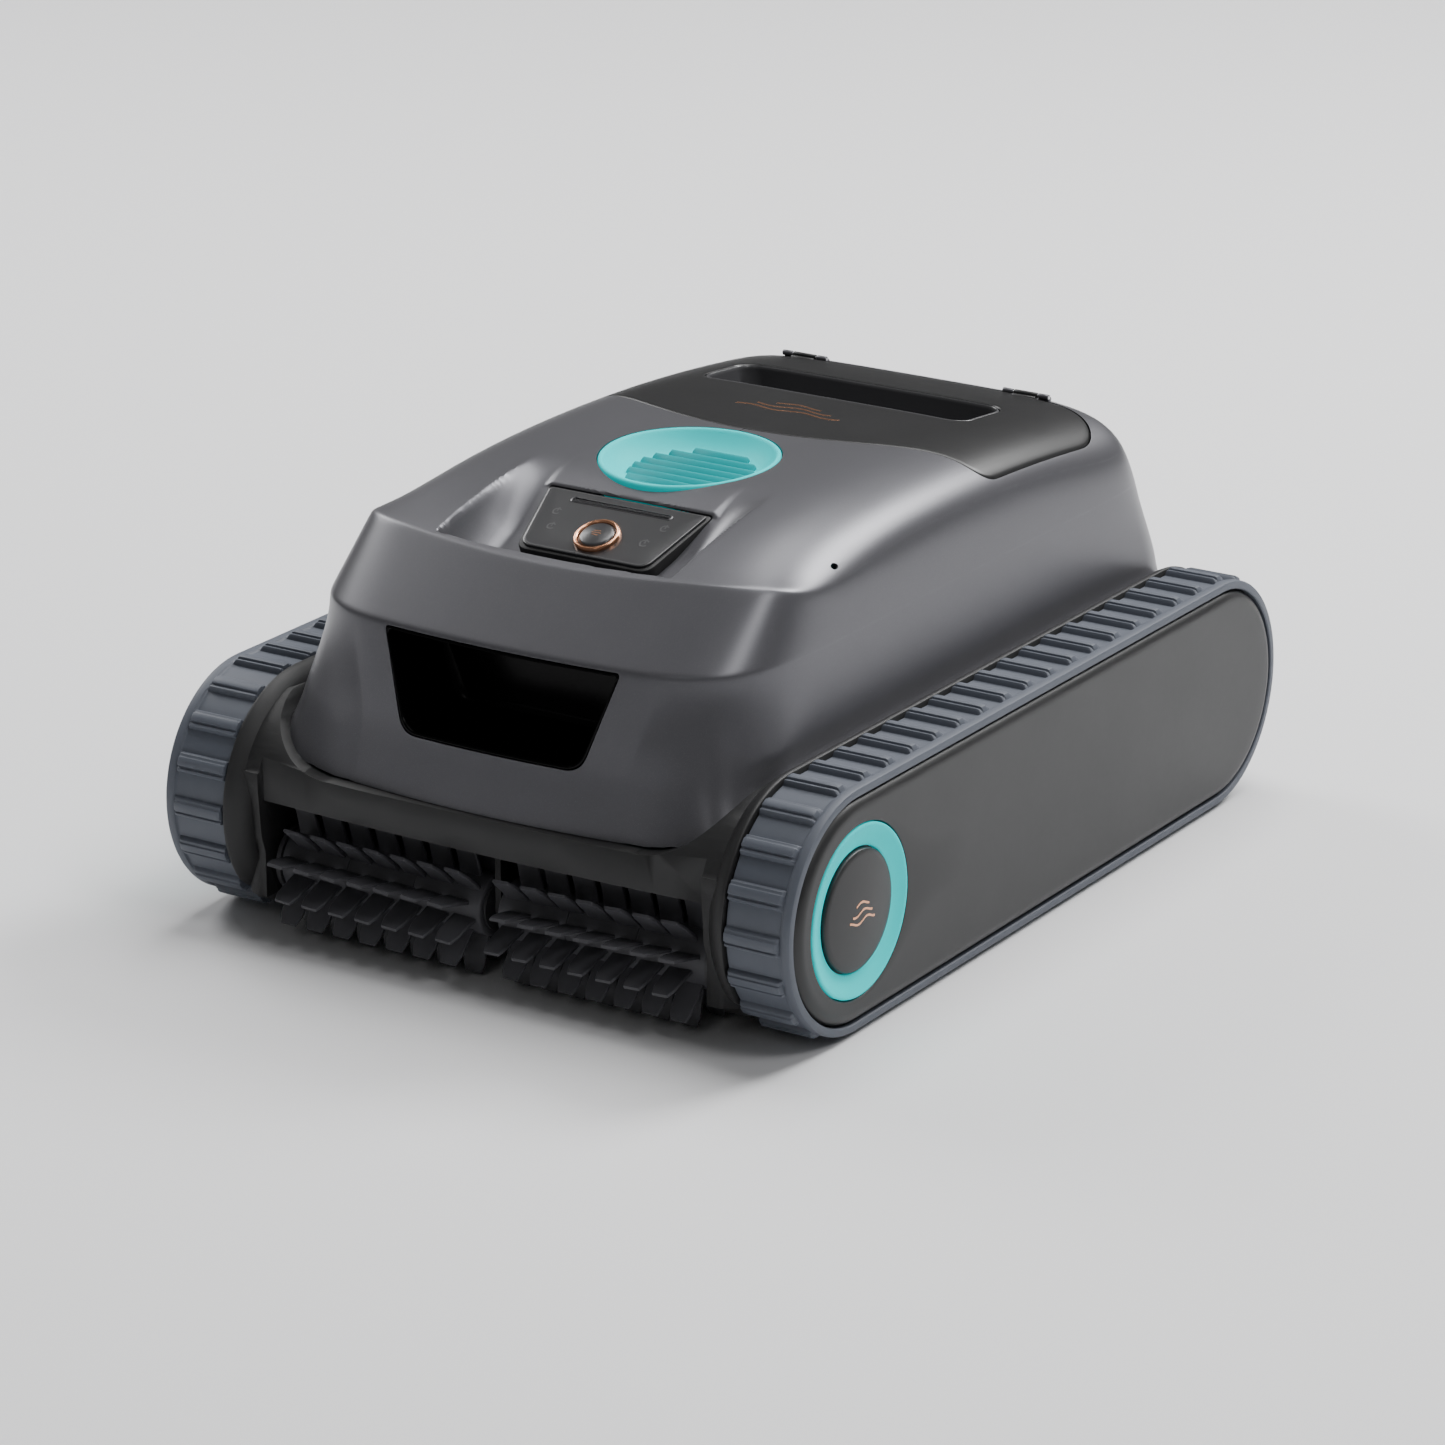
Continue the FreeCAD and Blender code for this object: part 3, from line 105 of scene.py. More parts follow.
class Builder:
    def __init__(self):
        self.points = []
        self.faces = []

    def add(self, points, faces):
        start = len(self.points)
        self.points.extend(np.asarray(points, float).tolist())
        self.faces.extend([tuple(start + i for i in face) for face in faces])

    def rings(self, rings, wrapRows=False, capStart=False, capEnd=False):
        rings = np.asarray(rings, float)
        rows, columns = rings.shape[:2]
        faces = gridFaces(rows, columns, wrapRows)
        if capStart:
            faces.append(tuple(range(columns)))
        if capEnd:
            faces.append(tuple((rows - 1) * columns + i for i in range(columns)))
        self.add(rings.reshape(-1, 3), faces)

    def prism(self, low, high):
        self.rings([low, high], capStart=True, capEnd=True)

    def piece(self, name, sharpAngle=40.0):
        return addPiece(name, self.points, self.faces, sharpAngle)


def applyModifiers(piece, sharpAngle=40.0):
    graph = bpy.context.evaluated_depsgraph_get()
    mesh = bpy.data.meshes.new_from_object(piece.evaluated_get(graph))
    piece.modifiers.clear()
    piece.data = mesh
    finishMesh(mesh, sharpAngle)


def bevelledCopy(name, node, width, segments=2, angle=28.0):
    source = frame["nodes"][node]
    mesh = source.data.copy()
    mesh.materials.clear()
    work = bmesh.new()
    work.from_mesh(mesh)
    bmesh.ops.remove_doubles(work, verts=work.verts, dist=2e-6)
    bmesh.ops.dissolve_limit(work, angle_limit=math.radians(0.6), verts=work.verts, edges=work.edges)
    work.to_mesh(mesh)
    work.free()
    piece = bpy.data.objects.new(name, mesh)
    bpy.context.scene.collection.objects.link(piece)
    bevel = piece.modifiers.new("edges", "BEVEL")
    bevel.width = width * mm
    bevel.segments = segments
    bevel.limit_method = "ANGLE"
    bevel.angle_limit = math.radians(angle)
    bevel.use_clamp_overlap = True
    bevel.miter_outer = "MITER_ARC"
    applyModifiers(piece, 35.0)
    return piece


def cutAway(piece, tool, sharpAngle=30.0):
    cut = piece.modifiers.new("cut", "BOOLEAN")
    cut.operation = "DIFFERENCE"
    cut.solver = "EXACT"
    cut.object = tool
    applyModifiers(piece, sharpAngle)
    bpy.data.objects.remove(tool)


def install(piece, body, slot, finish, *nodes):
    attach(piece, body)
    if nodes:
        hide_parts(*nodes)
    piece.data.materials.clear()
    piece.data.materials.append(materials[finish])


# the groups that every finish shares
def newGroup(name, inputs, outputs):
    group = bpy.data.node_groups.new(name, "ShaderNodeTree")
    for label, kind, value in inputs:
        socket = group.interface.new_socket(name=label, in_out="INPUT", socket_type=kind)
        socket.default_value = value
    for label, kind in outputs:
        group.interface.new_socket(name=label, in_out="OUTPUT", socket_type=kind)
    entry = group.nodes.new("NodeGroupInput")
    leave = group.nodes.new("NodeGroupOutput")
    return group, entry, leave


def mathNode(tree, operation, first, second, clamp=False):
    node = tree.nodes.new("ShaderNodeMath")
    node.operation = operation
    node.use_clamp = clamp
    for socket, value in zip(node.inputs, (first, second)):
        if hasattr(value, "links"):
            tree.links.new(value, socket)
        else:
            socket.default_value = value
    return node.outputs[0]


def noiseNode(tree, scale, detail=3.0, roughness=0.5):
    place = tree.nodes.new("ShaderNodeTexCoord")
    noise = tree.nodes.new("ShaderNodeTexNoise")
    noise.inputs["Detail"].default_value = detail
    noise.inputs["Roughness"].default_value = roughness
    tree.links.new(place.outputs["Object"], noise.inputs["Vector"])
    if hasattr(scale, "links"):
        tree.links.new(scale, noise.inputs["Scale"])
    else:
        noise.inputs["Scale"].default_value = scale
    return noise.outputs["Fac"]


def makeMouldGrain():
    number = "NodeSocketFloat"
    group, entry, leave = newGroup(
        "mouldGrain",
        [("Grain size", number, 1600.0), ("Ripple", number, 0.3)],
        [("Height", number), ("Mask", number)])
    fine = noiseNode(group, entry.outputs["Grain size"], 2.0, 0.6)
    broad = noiseNode(group, 26.0, 2.0, 0.45)
    swell = mathNode(group, "MULTIPLY", broad, entry.outputs["Ripple"])
    height = mathNode(group, "ADD", fine, swell)
    group.links.new(height, leave.inputs["Height"])
    group.links.new(fine, leave.inputs["Mask"])
    return group


def makeWaterMarks():
    number = "NodeSocketFloat"
    group, entry, leave = newGroup(
        "waterMarks",
        [("Mark size", number, 18.0), ("Contrast", number, 0.5)],
        [("Marks", number)])
    cloud = noiseNode(group, entry.outputs["Mark size"], 5.0, 0.62)
    speck = noiseNode(group, 240.0, 3.0, 0.7)
    both = mathNode(group, "ADD", mathNode(group, "MULTIPLY", cloud, 0.7), mathNode(group, "MULTIPLY", speck, 0.3))
    centred = mathNode(group, "SUBTRACT", both, 0.5)
    marks = mathNode(group, "ADD", mathNode(group, "MULTIPLY", centred, entry.outputs["Contrast"]), 0.5, True)
    group.links.new(marks, leave.inputs["Marks"])
    return group


def makeEdgeRub():
    number = "NodeSocketFloat"
    group, entry, leave = newGroup(
        "edgeRub",
        [("Reach", number, 0.0012), ("Breakup", number, 90.0)],
        [("Mask", number)])
    bevel = group.nodes.new("ShaderNodeBevel")
    bevel.samples = 4
    group.links.new(entry.outputs["Reach"], bevel.inputs["Radius"])
    shape = group.nodes.new("ShaderNodeNewGeometry")
    dot = group.nodes.new("ShaderNodeVectorMath")
    dot.operation = "DOT_PRODUCT"
    group.links.new(bevel.outputs["Normal"], dot.inputs[0])
    group.links.new(shape.outputs["Normal"], dot.inputs[1])
    edge = mathNode(group, "MULTIPLY", mathNode(group, "SUBTRACT", 1.0, dot.outputs["Value"]), 5.0, True)
    patch = noiseNode(group, entry.outputs["Breakup"], 4.0, 0.65)
    broken = mathNode(group, "MULTIPLY", mathNode(group, "SUBTRACT", patch, 0.35), 2.2, True)
    group.links.new(mathNode(group, "MULTIPLY", edge, broken), leave.inputs["Mask"])
    return group


mouldGrain = makeMouldGrain()
waterMarks = makeWaterMarks()
edgeRub = makeEdgeRub()


def placeGroup(tree, group, values):
    node = tree.nodes.new("ShaderNodeGroup")
    node.node_tree = group
    for label, value in values.items():
        node.inputs[label].default_value = value
    return node


def mixColour(tree, factor, first, second, mode="MIX"):
    node = tree.nodes.new("ShaderNodeMix")
    node.data_type = "RGBA"
    node.blend_type = mode
    node.clamp_factor = True
    for socket, value in ((node.inputs[0], factor), (node.inputs[6], first), (node.inputs[7], second)):
        if hasattr(value, "links"):
            tree.links.new(value, socket)
        elif isinstance(value, (int, float)):
            socket.default_value = value
        else:
            socket.default_value = (*value, 1.0)
    return node.outputs[2]


def makeFinish(name, look):
    material = bpy.data.materials.new(name)
    material.use_nodes = True
    tree = material.node_tree
    shader = tree.nodes["Principled BSDF"]
    shader.inputs["Metallic"].default_value = look.get("metallic", 0.0)
    shader.inputs["IOR"].default_value = look.get("ior", 1.48)
    shader.inputs["Coat Weight"].default_value = look.get("coat", 0.0)
    shader.inputs["Coat Roughness"].default_value = look.get("coatRoughness", 0.12)
    shader.inputs["Sheen Weight"].default_value = look.get("sheen", 0.0)
    grain = placeGroup(tree, mouldGrain, {"Grain size": look["grainSize"], "Ripple": 0.15})
    marks = placeGroup(tree, waterMarks, {"Mark size": look.get("markSize", 16.0), "Contrast": 0.8})
    colour = mixColour(tree, marks.outputs["Marks"], look["colour"], look["tone"])
    if look.get("fleck", 0.0) > 0:
        fleck = noiseNode(tree, 5200.0, 1.0, 0.5)
        sharp = mathNode(tree, "MULTIPLY", mathNode(tree, "SUBTRACT", fleck, 0.62), 9.0, True)
        colour = mixColour(tree, mathNode(tree, "MULTIPLY", sharp, look["fleck"]), colour, look["fleckColour"])
    if look.get("rub", 0.0) > 0:
        rub = placeGroup(tree, edgeRub, {"Reach": look.get("rubReach", 0.0012), "Breakup": 90.0})
        amount = mathNode(tree, "MULTIPLY", rub.outputs["Mask"], look["rub"])
        colour = mixColour(tree, amount, colour, look["rubColour"])
    tree.links.new(colour, shader.inputs["Base Color"])
    # painted light: an emission makes this finish glow, though the part is no lamp
    if look.get("paintedGlow", 0.0) > 0:
        tree.links.new(colour, shader.inputs["Emission Color"])
        shader.inputs["Emission Strength"].default_value = look["paintedGlow"]
    spread = look.get("roughnessSpread", 0.1)
    swing = mathNode(tree, "MULTIPLY", mathNode(tree, "SUBTRACT", marks.outputs["Marks"], 0.5), spread * 2)
    tree.links.new(mathNode(tree, "ADD", swing, look["roughness"]), shader.inputs["Roughness"])
    bump = tree.nodes.new("ShaderNodeBump")
    bump.inputs["Strength"].default_value = look.get("bump", 0.2)
    bump.inputs["Distance"].default_value = 0.00012
    tree.links.new(grain.outputs["Height"], bump.inputs["Height"])
    tree.links.new(bump.outputs["Normal"], shader.inputs["Normal"])
    return material


finishes = {
    "shellGrey": {
        "colour": (0.098, 0.098, 0.108), "tone": (0.116, 0.115, 0.127), "metallic": 0.6, "roughness": 0.38,
        "roughnessSpread": 0.04, "grainSize": 2600.0, "bump": 0.12, "coat": 0.25, "coatRoughness": 0.3,
        "fleck": 0.35, "fleckColour": (0.30, 0.30, 0.32), "rub": 0.35, "rubColour": (0.32, 0.32, 0.34)},
    "chassisBlack": {
        "colour": (0.011, 0.011, 0.0115), "tone": (0.016, 0.016, 0.017), "roughness": 0.55, "grainSize": 1500.0,
        "bump": 0.35, "rub": 0.3, "rubColour": (0.07, 0.07, 0.072)},
    "coverBlack": {
        "colour": (0.010, 0.010, 0.0105), "tone": (0.014, 0.014, 0.015), "roughness": 0.44, "grainSize": 2100.0,
        "bump": 0.22, "rub": 0.35, "rubColour": (0.09, 0.09, 0.095)},
    "lidBlack": {
        "colour": (0.006, 0.006, 0.0065), "tone": (0.009, 0.009, 0.0095), "roughness": 0.38, "grainSize": 2300.0,
        "bump": 0.15, "rub": 0.3, "rubColour": (0.10, 0.10, 0.105)},
    "pianoBlack": {
        "colour": (0.0008, 0.0008, 0.0009), "tone": (0.0016, 0.0016, 0.0018), "roughness": 0.22,
        "roughnessSpread": 0.05, "grainSize": 900.0, "bump": 0.02, "ior": 1.18},
    "panelBlack": {
        "colour": (0.022, 0.022, 0.024), "tone": (0.030, 0.030, 0.032), "roughness": 0.3, "roughnessSpread": 0.06,
        "grainSize": 1900.0, "bump": 0.08, "coat": 0.3, "coatRoughness": 0.2},
    # grey for the printed icons, also used for the thin line round the panel, which is a painted highlight of the
    # panel's edge bevel
    "iconAndHighlightGrey": {
        "colour": (0.048, 0.048, 0.050), "tone": (0.062, 0.062, 0.065), "roughness": 0.4, "grainSize": 1800.0},
    # the turquoise carries a weak emission: painted light, so parts in this finish glow though they are no lamp
    "turquoise": {
        "colour": (0.0, 0.60, 0.61), "tone": (0.0, 0.70, 0.71), "roughness": 0.5, "grainSize": 2200.0,
        "bump": 0.12, "ior": 1.16, "paintedGlow": 0.22, "rub": 0.25, "rubColour": (0.02, 0.66, 0.66)},
    # painted shade: a darker copy of the turquoise for the vent slats, which are the same turquoise plastic; its rubbed
    # edges are lighter
    "turquoisePaintedShade": {
        "colour": (0.0, 0.30, 0.32), "tone": (0.0, 0.37, 0.39), "roughness": 0.5, "grainSize": 2200.0,
        "bump": 0.12, "ior": 1.16, "rub": 0.5, "rubColour": (0.0, 0.52, 0.53)},
    # painted reflection: the slot cup is the cover's black plastic, painted a lighter grey to stand in for the gloss on
    # its rear wall
    "slotPaintedReflectionGrey": {
        "colour": (0.045, 0.045, 0.048), "tone": (0.060, 0.060, 0.064), "roughness": 0.34, "grainSize": 2300.0,
        "bump": 0.1, "coat": 0.2},
    "copper": {
        "colour": (0.78, 0.36, 0.20), "tone": (0.86, 0.46, 0.28), "metallic": 1.0, "roughness": 0.24,
        "roughnessSpread": 0.08, "grainSize": 1400.0, "bump": 0.05},
    "treadRubber": {
        "colour": (0.076, 0.086, 0.108), "tone": (0.100, 0.111, 0.136), "roughness": 0.56, "grainSize": 1300.0,
        "bump": 0.4, "markSize": 30.0, "rub": 0.45, "rubColour": (0.19, 0.20, 0.235), "rubReach": 0.0009},
    "brushRubber": {
        "colour": (0.050, 0.050, 0.057), "tone": (0.068, 0.068, 0.076), "roughness": 0.55, "grainSize": 1500.0,
        "bump": 0.25, "rub": 0.4, "rubColour": (0.15, 0.15, 0.165), "rubReach": 0.0007},
    "sealRubber": {
        "colour": (0.018, 0.018, 0.018), "tone": (0.028, 0.028, 0.028), "roughness": 0.7, "grainSize": 1200.0,
        "bump": 0.3},
    "wheelPlastic": {
        "colour": (0.030, 0.030, 0.033), "tone": (0.045, 0.045, 0.048), "roughness": 0.5, "grainSize": 1500.0},
    "steel": {
        "colour": (0.50, 0.50, 0.52), "tone": (0.60, 0.60, 0.61), "metallic": 1.0, "roughness": 0.32,
        "grainSize": 800.0, "bump": 0.1},
    "motorCan": {
        "colour": (0.16, 0.16, 0.17), "tone": (0.22, 0.22, 0.23), "metallic": 0.9, "roughness": 0.4,
        "grainSize": 900.0},
    "gearWhite": {
        "colour": (0.62, 0.61, 0.57), "tone": (0.70, 0.69, 0.65), "roughness": 0.45, "grainSize": 1100.0},
    "cellWrap": {
        "colour": (0.03, 0.14, 0.34), "tone": (0.04, 0.18, 0.42), "roughness": 0.25, "grainSize": 700.0,
        "coat": 0.3},
    "boardGreen": {
        "colour": (0.010, 0.10, 0.04), "tone": (0.016, 0.14, 0.055), "roughness": 0.4, "grainSize": 1500.0},
    "meshFabric": {
        "colour": (0.34, 0.36, 0.40), "tone": (0.44, 0.46, 0.50), "roughness": 0.8, "grainSize": 2600.0,
        "bump": 0.8, "sheen": 0.2},
    "basketGrey": {
        "colour": (0.055, 0.058, 0.066), "tone": (0.075, 0.078, 0.088), "roughness": 0.48, "grainSize": 1500.0},
    "lightLens": {
        "colour": (0.055, 0.055, 0.060), "tone": (0.075, 0.075, 0.080), "roughness": 0.35, "grainSize": 1700.0,
        "coat": 0.5, "coatRoughness": 0.15},
    "bushPlastic": {
        "colour": (0.50, 0.48, 0.42), "tone": (0.58, 0.56, 0.50), "roughness": 0.45, "grainSize": 1300.0},
}
materials = {name: makeFinish(name, look) for name, look in finishes.items()}
print("stage: finishes made")


def planOutline(half, front, rear, corner, rearCorner, frontBow, rearBow, counts):
    frontCount, cornerCount, sideCount, rearCount = counts
    flat = half - corner
    rearFlat = half - rearCorner
    t = np.linspace(-1, 1, frontCount, endpoint=False)
    frontEdge = np.stack([t * flat, front + frontBow * t * t], 1)
    a = np.linspace(-math.pi / 2, 0, cornerCount, endpoint=False)
    frontRight = np.stack([flat + corner * np.cos(a), front + frontBow + corner + corner * np.sin(a)], 1)
    s = np.linspace(0, 1, sideCount, endpoint=False)
    y0 = front + frontBow + corner
    y1 = rear - rearBow - rearCorner
    rightSide = np.stack([np.full(sideCount, half), y0 + (y1 - y0) * s], 1)
    a = np.linspace(0, math.pi / 2, cornerCount, endpoint=False)
    rearRight = np.stack([rearFlat + rearCorner * np.cos(a), y1 + rearCorner * np.sin(a)], 1)
    t = np.linspace(1, -1, rearCount, endpoint=False)
    rearEdge = np.stack([t * rearFlat, rear - rearBow * t * t], 1)
    a = np.linspace(math.pi / 2, math.pi, cornerCount, endpoint=False)
    rearLeft = np.stack([-rearFlat + rearCorner * np.cos(a), y1 + rearCorner * np.sin(a)], 1)
    leftSide = np.stack([np.full(sideCount, -half), y1 + (y0 - y1) * s], 1)
    a = np.linspace(math.pi, 1.5 * math.pi, cornerCount, endpoint=False)
    frontLeft = np.stack([-flat + corner * np.cos(a), y0 + corner * np.sin(a)], 1)
    return np.concatenate([frontEdge, frontRight, rightSide, rearRight, rearEdge, rearLeft, leftSide, frontLeft])


def softenLoop(loop, passes):
    for _ in range(passes):
        loop = 0.5 * loop + 0.25 * (np.roll(loop, 1, 0) + np.roll(loop, -1, 0))
    return loop


def atHeight(loop, z):
    return np.column_stack([loop, np.full(len(loop), z)])


def growLoop(loop, amount):
    along = np.roll(loop, -1, 0) - np.roll(loop, 1, 0)
    outward = np.stack([along[:, 1], -along[:, 0]], 1)
    outward /= np.linalg.norm(outward, axis=1)[:, None]
    return loop + outward * amount


hood = {
    "sections": [
        (60.0, 137.0, -233.0, 230.0, 60.0, 5.0),
        (117.0, 132.0, -219.0, 222.0, 56.0, 5.0),
        (166.0, 127.5, -209.5, 205.0, 44.0, 5.0),
        (197.0, 122.5, -171.5, 186.5, 30.0, 6.0),
        (235.0, 116.4, -125.0, 163.0, 22.0, 6.0)],   # height, half width, front, rear, corner, bow
    "wall": 3.0,
    "frontSoftness": 0.9,
    "sideSoftness": 9.0,
    "spineFront": -78.0,
    "spineRear": 100.0,
    "flange": 1.3,
    "cornerPasses": 150,
    "footX": 72.0,
    "footY": -160.0,
    "footFlare": 12.5,
    "rearCornerShare": 0.6,
    "counts": (180, 30, 130, 90),
    "cornerStart": 122.0,
    "crestReach": 14.0,
}
trough = {
    "half": 67.0, "inner": 49.0, "frontInset": 5.2, "rearY": -62.0, "floorFrontY": -165.5,
    "floorFrontZ": 173.5, "floorRearZ": 217.6, "tongueHalf": 46.6, "podRearY": -97.6,
}
panel = {
    "lowY": -139.4, "lowZ": 192.1, "highY": -99.3, "highZ": 208.7, "lowHalf": 35.8, "highHalf": 45.2,
    "buttonY": -126.0,
}
panel["slope"] = (panel["highZ"] - panel["lowZ"]) / (panel["highY"] - panel["lowY"])
panel["tilt"] = math.atan(panel["slope"])


def roofHeight(x, y):
    arch = np.where(y < 0, 22.0 * np.clip(-y / 171.0, 0, None) ** 2.6, 14.0 * (y / 183.0) ** 2)
    fade = 0.05 + 0.95 * smoothStep((y + 171.0) / 63.0)
    return 219.0 - arch - fade * 30.0 * (np.abs(x) / 128.0) ** 8


def shellEdgeZ(x):
    steps = [0.0, 78.0, 86.0, 95.0, 105.0, 113.0, 120.0, 126.0, 132.0, 200.0]
    heights = [88.0, 88.0, 88.15, 89.3, 92.0, 96.3, 102.2, 109.2, 117.0, 117.0]
    return np.interp(np.abs(x), steps, heights)


def sectionLoops(heights):
    sections = hood["sections"]
    share = hood["rearCornerShare"]
    loops = np.stack([
        planOutline(half, front, rear, corner, corner * share, bow, bow, hood["counts"])
        for _, half, front, rear, corner, bow in sections])
    levels = np.array([section[0] for section in sections])
    out = np.empty((len(heights), loops.shape[1], 2))
    for i, z in enumerate(heights):
        k = int(np.clip(np.searchsorted(levels, z) - 1, 0, len(levels) - 2))
        f = (z - levels[k]) / (levels[k + 1] - levels[k])
        out[i] = loops[k] * (1 - f) + loops[k + 1] * f
    return out


def resample(line, step):
    lengths = np.concatenate([[0], np.cumsum(np.linalg.norm(np.diff(line, axis=0), axis=1))])
    stations = np.arange(0, lengths[-1], step)
    return np.stack([np.interp(stations, lengths, line[:, i]) for i in range(3)], 1), lengths


def blurLine(line, sigma):
    reach = int(4 * sigma) + 1
    taps = np.exp(-0.5 * (np.arange(-reach, reach + 1) / sigma) ** 2)
    taps /= taps.sum()
    before = 2 * line[0] - line[1:reach + 1][::-1]
    after = 2 * line[-1] - line[-reach - 1:-1][::-1]
    long = np.concatenate([before, line, after])
    return np.stack([np.convolve(long[:, i], taps, "valid") for i in range(3)], 1)


def flareFoot(rings):
    # the front corners sweep out at the foot to meet the tub
    foot = rings[0]
    dx = np.abs(foot[:, 0]) - hood["footX"]
    dy = foot[:, 1] - hood["footY"]
    angle = np.degrees(np.arctan2(-dy, dx))
    weight = np.exp(-((angle - 46.0) / 17.0) ** 2) * (dx > 0)
    length = np.hypot(dx, dy)
    t = np.clip((rings[:, :, 2] - foot[:, 2]) / (158.0 - foot[:, 2]), 0, 1)
    push = hood["footFlare"] * weight * (1 - t) ** 1.8
    rings[:, :, 0] += push * np.sign(foot[:, 0]) * dx / length
    rings[:, :, 1] += push * dy / length


def hoodRings():
    heights = np.linspace(60.0, 235.0, 351)
    loops = sectionLoops(heights)
    columns = loops.shape[1]
    step = 0.5
    ringCountLow = 18
    ringCountBand = 20
    reach = hood["crestReach"]
    nearCrest = np.array([0.6, 1.3, 2.1, 3.0, 3.9, 4.6, 5.2, 5.8, 6.4, 7.1, 8.0, 9.2, 10.6, 12.2, reach])
    roofCount = 78
    low = 0.5 - 0.5 * np.cos(np.linspace(0, math.pi, ringCountLow, endpoint=False))
    rings = np.empty((ringCountLow + ringCountBand + 1 + len(nearCrest) + roofCount, columns, 3))
    for c in range(columns):
        x = loops[:, c, 0]
        y = loops[:, c, 1]
        above = heights > roofHeight(x, y)
        top = int(np.argmax(above))
        start = int(np.argmax(heights >= shellEdgeZ(x)))
        side = np.stack([x[start:top], y[start:top], heights[start:top]], 1)
        ridge = side[-1]
        bandIndex = int(np.searchsorted(side[:, 2], 166.0))
        spine = np.array([0.0, min(max(ridge[1] * 0.8, hood["spineFront"]), hood["spineRear"])])
        t = np.linspace(0, 1, 240)[1:]
        flat = ridge[:2] + (spine - ridge[:2]) * t[:, None]
        roof = np.column_stack([flat, roofHeight(flat[:, 0], flat[:, 1])])
        line = np.concatenate([side, roof])
        dense, lengths = resample(line, step)
        frontness = smoothStep((ridge[1] + 168.0) / 130.0)
        softness = hood["frontSoftness"] + (hood["sideSoftness"] - hood["frontSoftness"]) * frontness
        smooth = blurLine(dense, softness / step)
        sBand = lengths[bandIndex]
        sCrest = lengths[len(side) - 1]
        sEnd = lengths[-1]
        band = 0.5 - 0.5 * np.cos(np.linspace(0, math.pi, ringCountBand + 1))
        places = np.concatenate([
            low * sBand, sBand + band * (sCrest - sBand), sCrest + nearCrest,
            sCrest + reach + (sEnd - sCrest - reach) * np.linspace(0, 1, roofCount + 1)[1:]])
        stations = np.arange(len(smooth)) * step
        rings[:, c] = np.stack([np.interp(places, stations, smooth[:, i]) for i in range(3)], 1)
    rounded = rings.copy()
    for _ in range(hood["cornerPasses"]):
        rounded = 0.5 * rounded + 0.25 * (np.roll(rounded, 1, 1) + np.roll(rounded, -1, 1))
    share = smoothStep((rings[:, :, 2] - hood["cornerStart"]) / 42.0)[:, :, None]
    rings = rings + (rounded - rings) * share
    flareFoot(rings)
    return rings, ringCountLow + ringCountBand


def troughHeight(points):
    x, y, z = points[:, 0], points[:, 1], points[:, 2]
    side = np.abs(x)
    slope = (trough["floorRearZ"] - trough["floorFrontZ"]) / (trough["rearY"] - trough["floorFrontY"])
    floor = trough["floorFrontZ"] + (y - trough["floorFrontY"]) * slope
    depth = np.clip(z - floor, 0, None)
    q = np.clip((side - trough["inner"]) / (trough["half"] - trough["inner"]), 0, 1.12)
    cove = depth * np.clip(1 - q * q, 0, 1) * smoothStep((-y - 64.0) / 62.0)
    ridgeY = -171.5 + 6.0 * (x / 92.5) ** 2
    wall = smoothStep((y - ridgeY - trough["frontInset"] + 0.8) / 1.6)
    panelPlane = panel["lowZ"] + (y - panel["lowY"]) * panel["slope"] - 0.25
    tongue = z - softMin(z, panelPlane, 4.0)
    onTongue = (1 - smoothStep((side - trough["tongueHalf"]) / 3.4)) * smoothStep((y - trough["podRearY"]) / 1.2)
    drop = cove * (1 - onTongue) + tongue * onTongue
    return z - drop * wall


def makeHood():
    rings, crestRow = hoodRings()
    before = rings.copy()
    roof = rings[crestRow:].reshape(-1, 3)
    roof[:, 2] = troughHeight(roof)
    rings[crestRow:] = roof.reshape(rings[crestRow:].shape)
    side = rings[:5]
    onSide = smoothStep((np.abs(side[0, :, 0]) - 112.0) / 14.0)
    flare = hood["flange"] * (1 - np.arange(5) / 4.0)[:, None] ** 1.5 * onSide[None, :]
    side[:, :, 0] += np.sign(side[:, :, 0]) * flare
    faces = gridFaces(rings.shape[0], rings.shape[1])
    shell = addPiece("hoodShell", rings.reshape(-1, 3), faces, 60.0)
    solid = shell.modifiers.new("wall", "SOLIDIFY")
    solid.thickness = hood["wall"] * mm
    solid.offset = -1.0
    solid.use_even_offset = True
    solid.thickness_clamp = 0.6
    applyModifiers(shell, 60.0)
    plain = BVHTree.FromPolygons(before.reshape(-1, 3).tolist(), faces)
    return shell, plain


def dropOnto(tree, loop):
    heights = []
    for x, y in loop:
        hit = tree.ray_cast(Vector((x, y, 300.0)), Vector((0, 0, -1)))
        heights.append(hit[0].z if hit[0] else roofHeight(x, y))
    return np.array(heights)


hoodShell, roofTree = makeHood()
print("stage: hood skin made", len(hoodShell.data.vertices))

lid = {
    "half": 117.0, "front": 4.0, "rear": 168.0, "frontBow": 30.0, "rearBow": 3.0, "corner": 13.0,
    "rearCorner": 25.0, "thick": 4.0, "gap": 0.6, "edge": 1.3,
    "slotHalf": 76.5, "slotFront": 84.0, "slotRear": 126.0, "slotCorner": 9.0,
}
loopCounts = (80, 18, 90, 80)
lidLoop = softenLoop(planOutline(lid["half"], lid["front"], lid["rear"], lid["corner"], lid["rearCorner"],
                                 lid["frontBow"], lid["rearBow"], loopCounts), 22)
slotLoop = planOutline(lid["slotHalf"], lid["slotFront"], lid["slotRear"], lid["slotCorner"], lid["slotCorner"],
                       0.0, 0.0, loopCounts)


pocket = {
    "topHalf": 65.0, "topZ": 162.6, "lowHalf": 49.0, "lowZ": 118.0, "corner": 12.0, "backY": -172.0, "wall": 2.0,
}


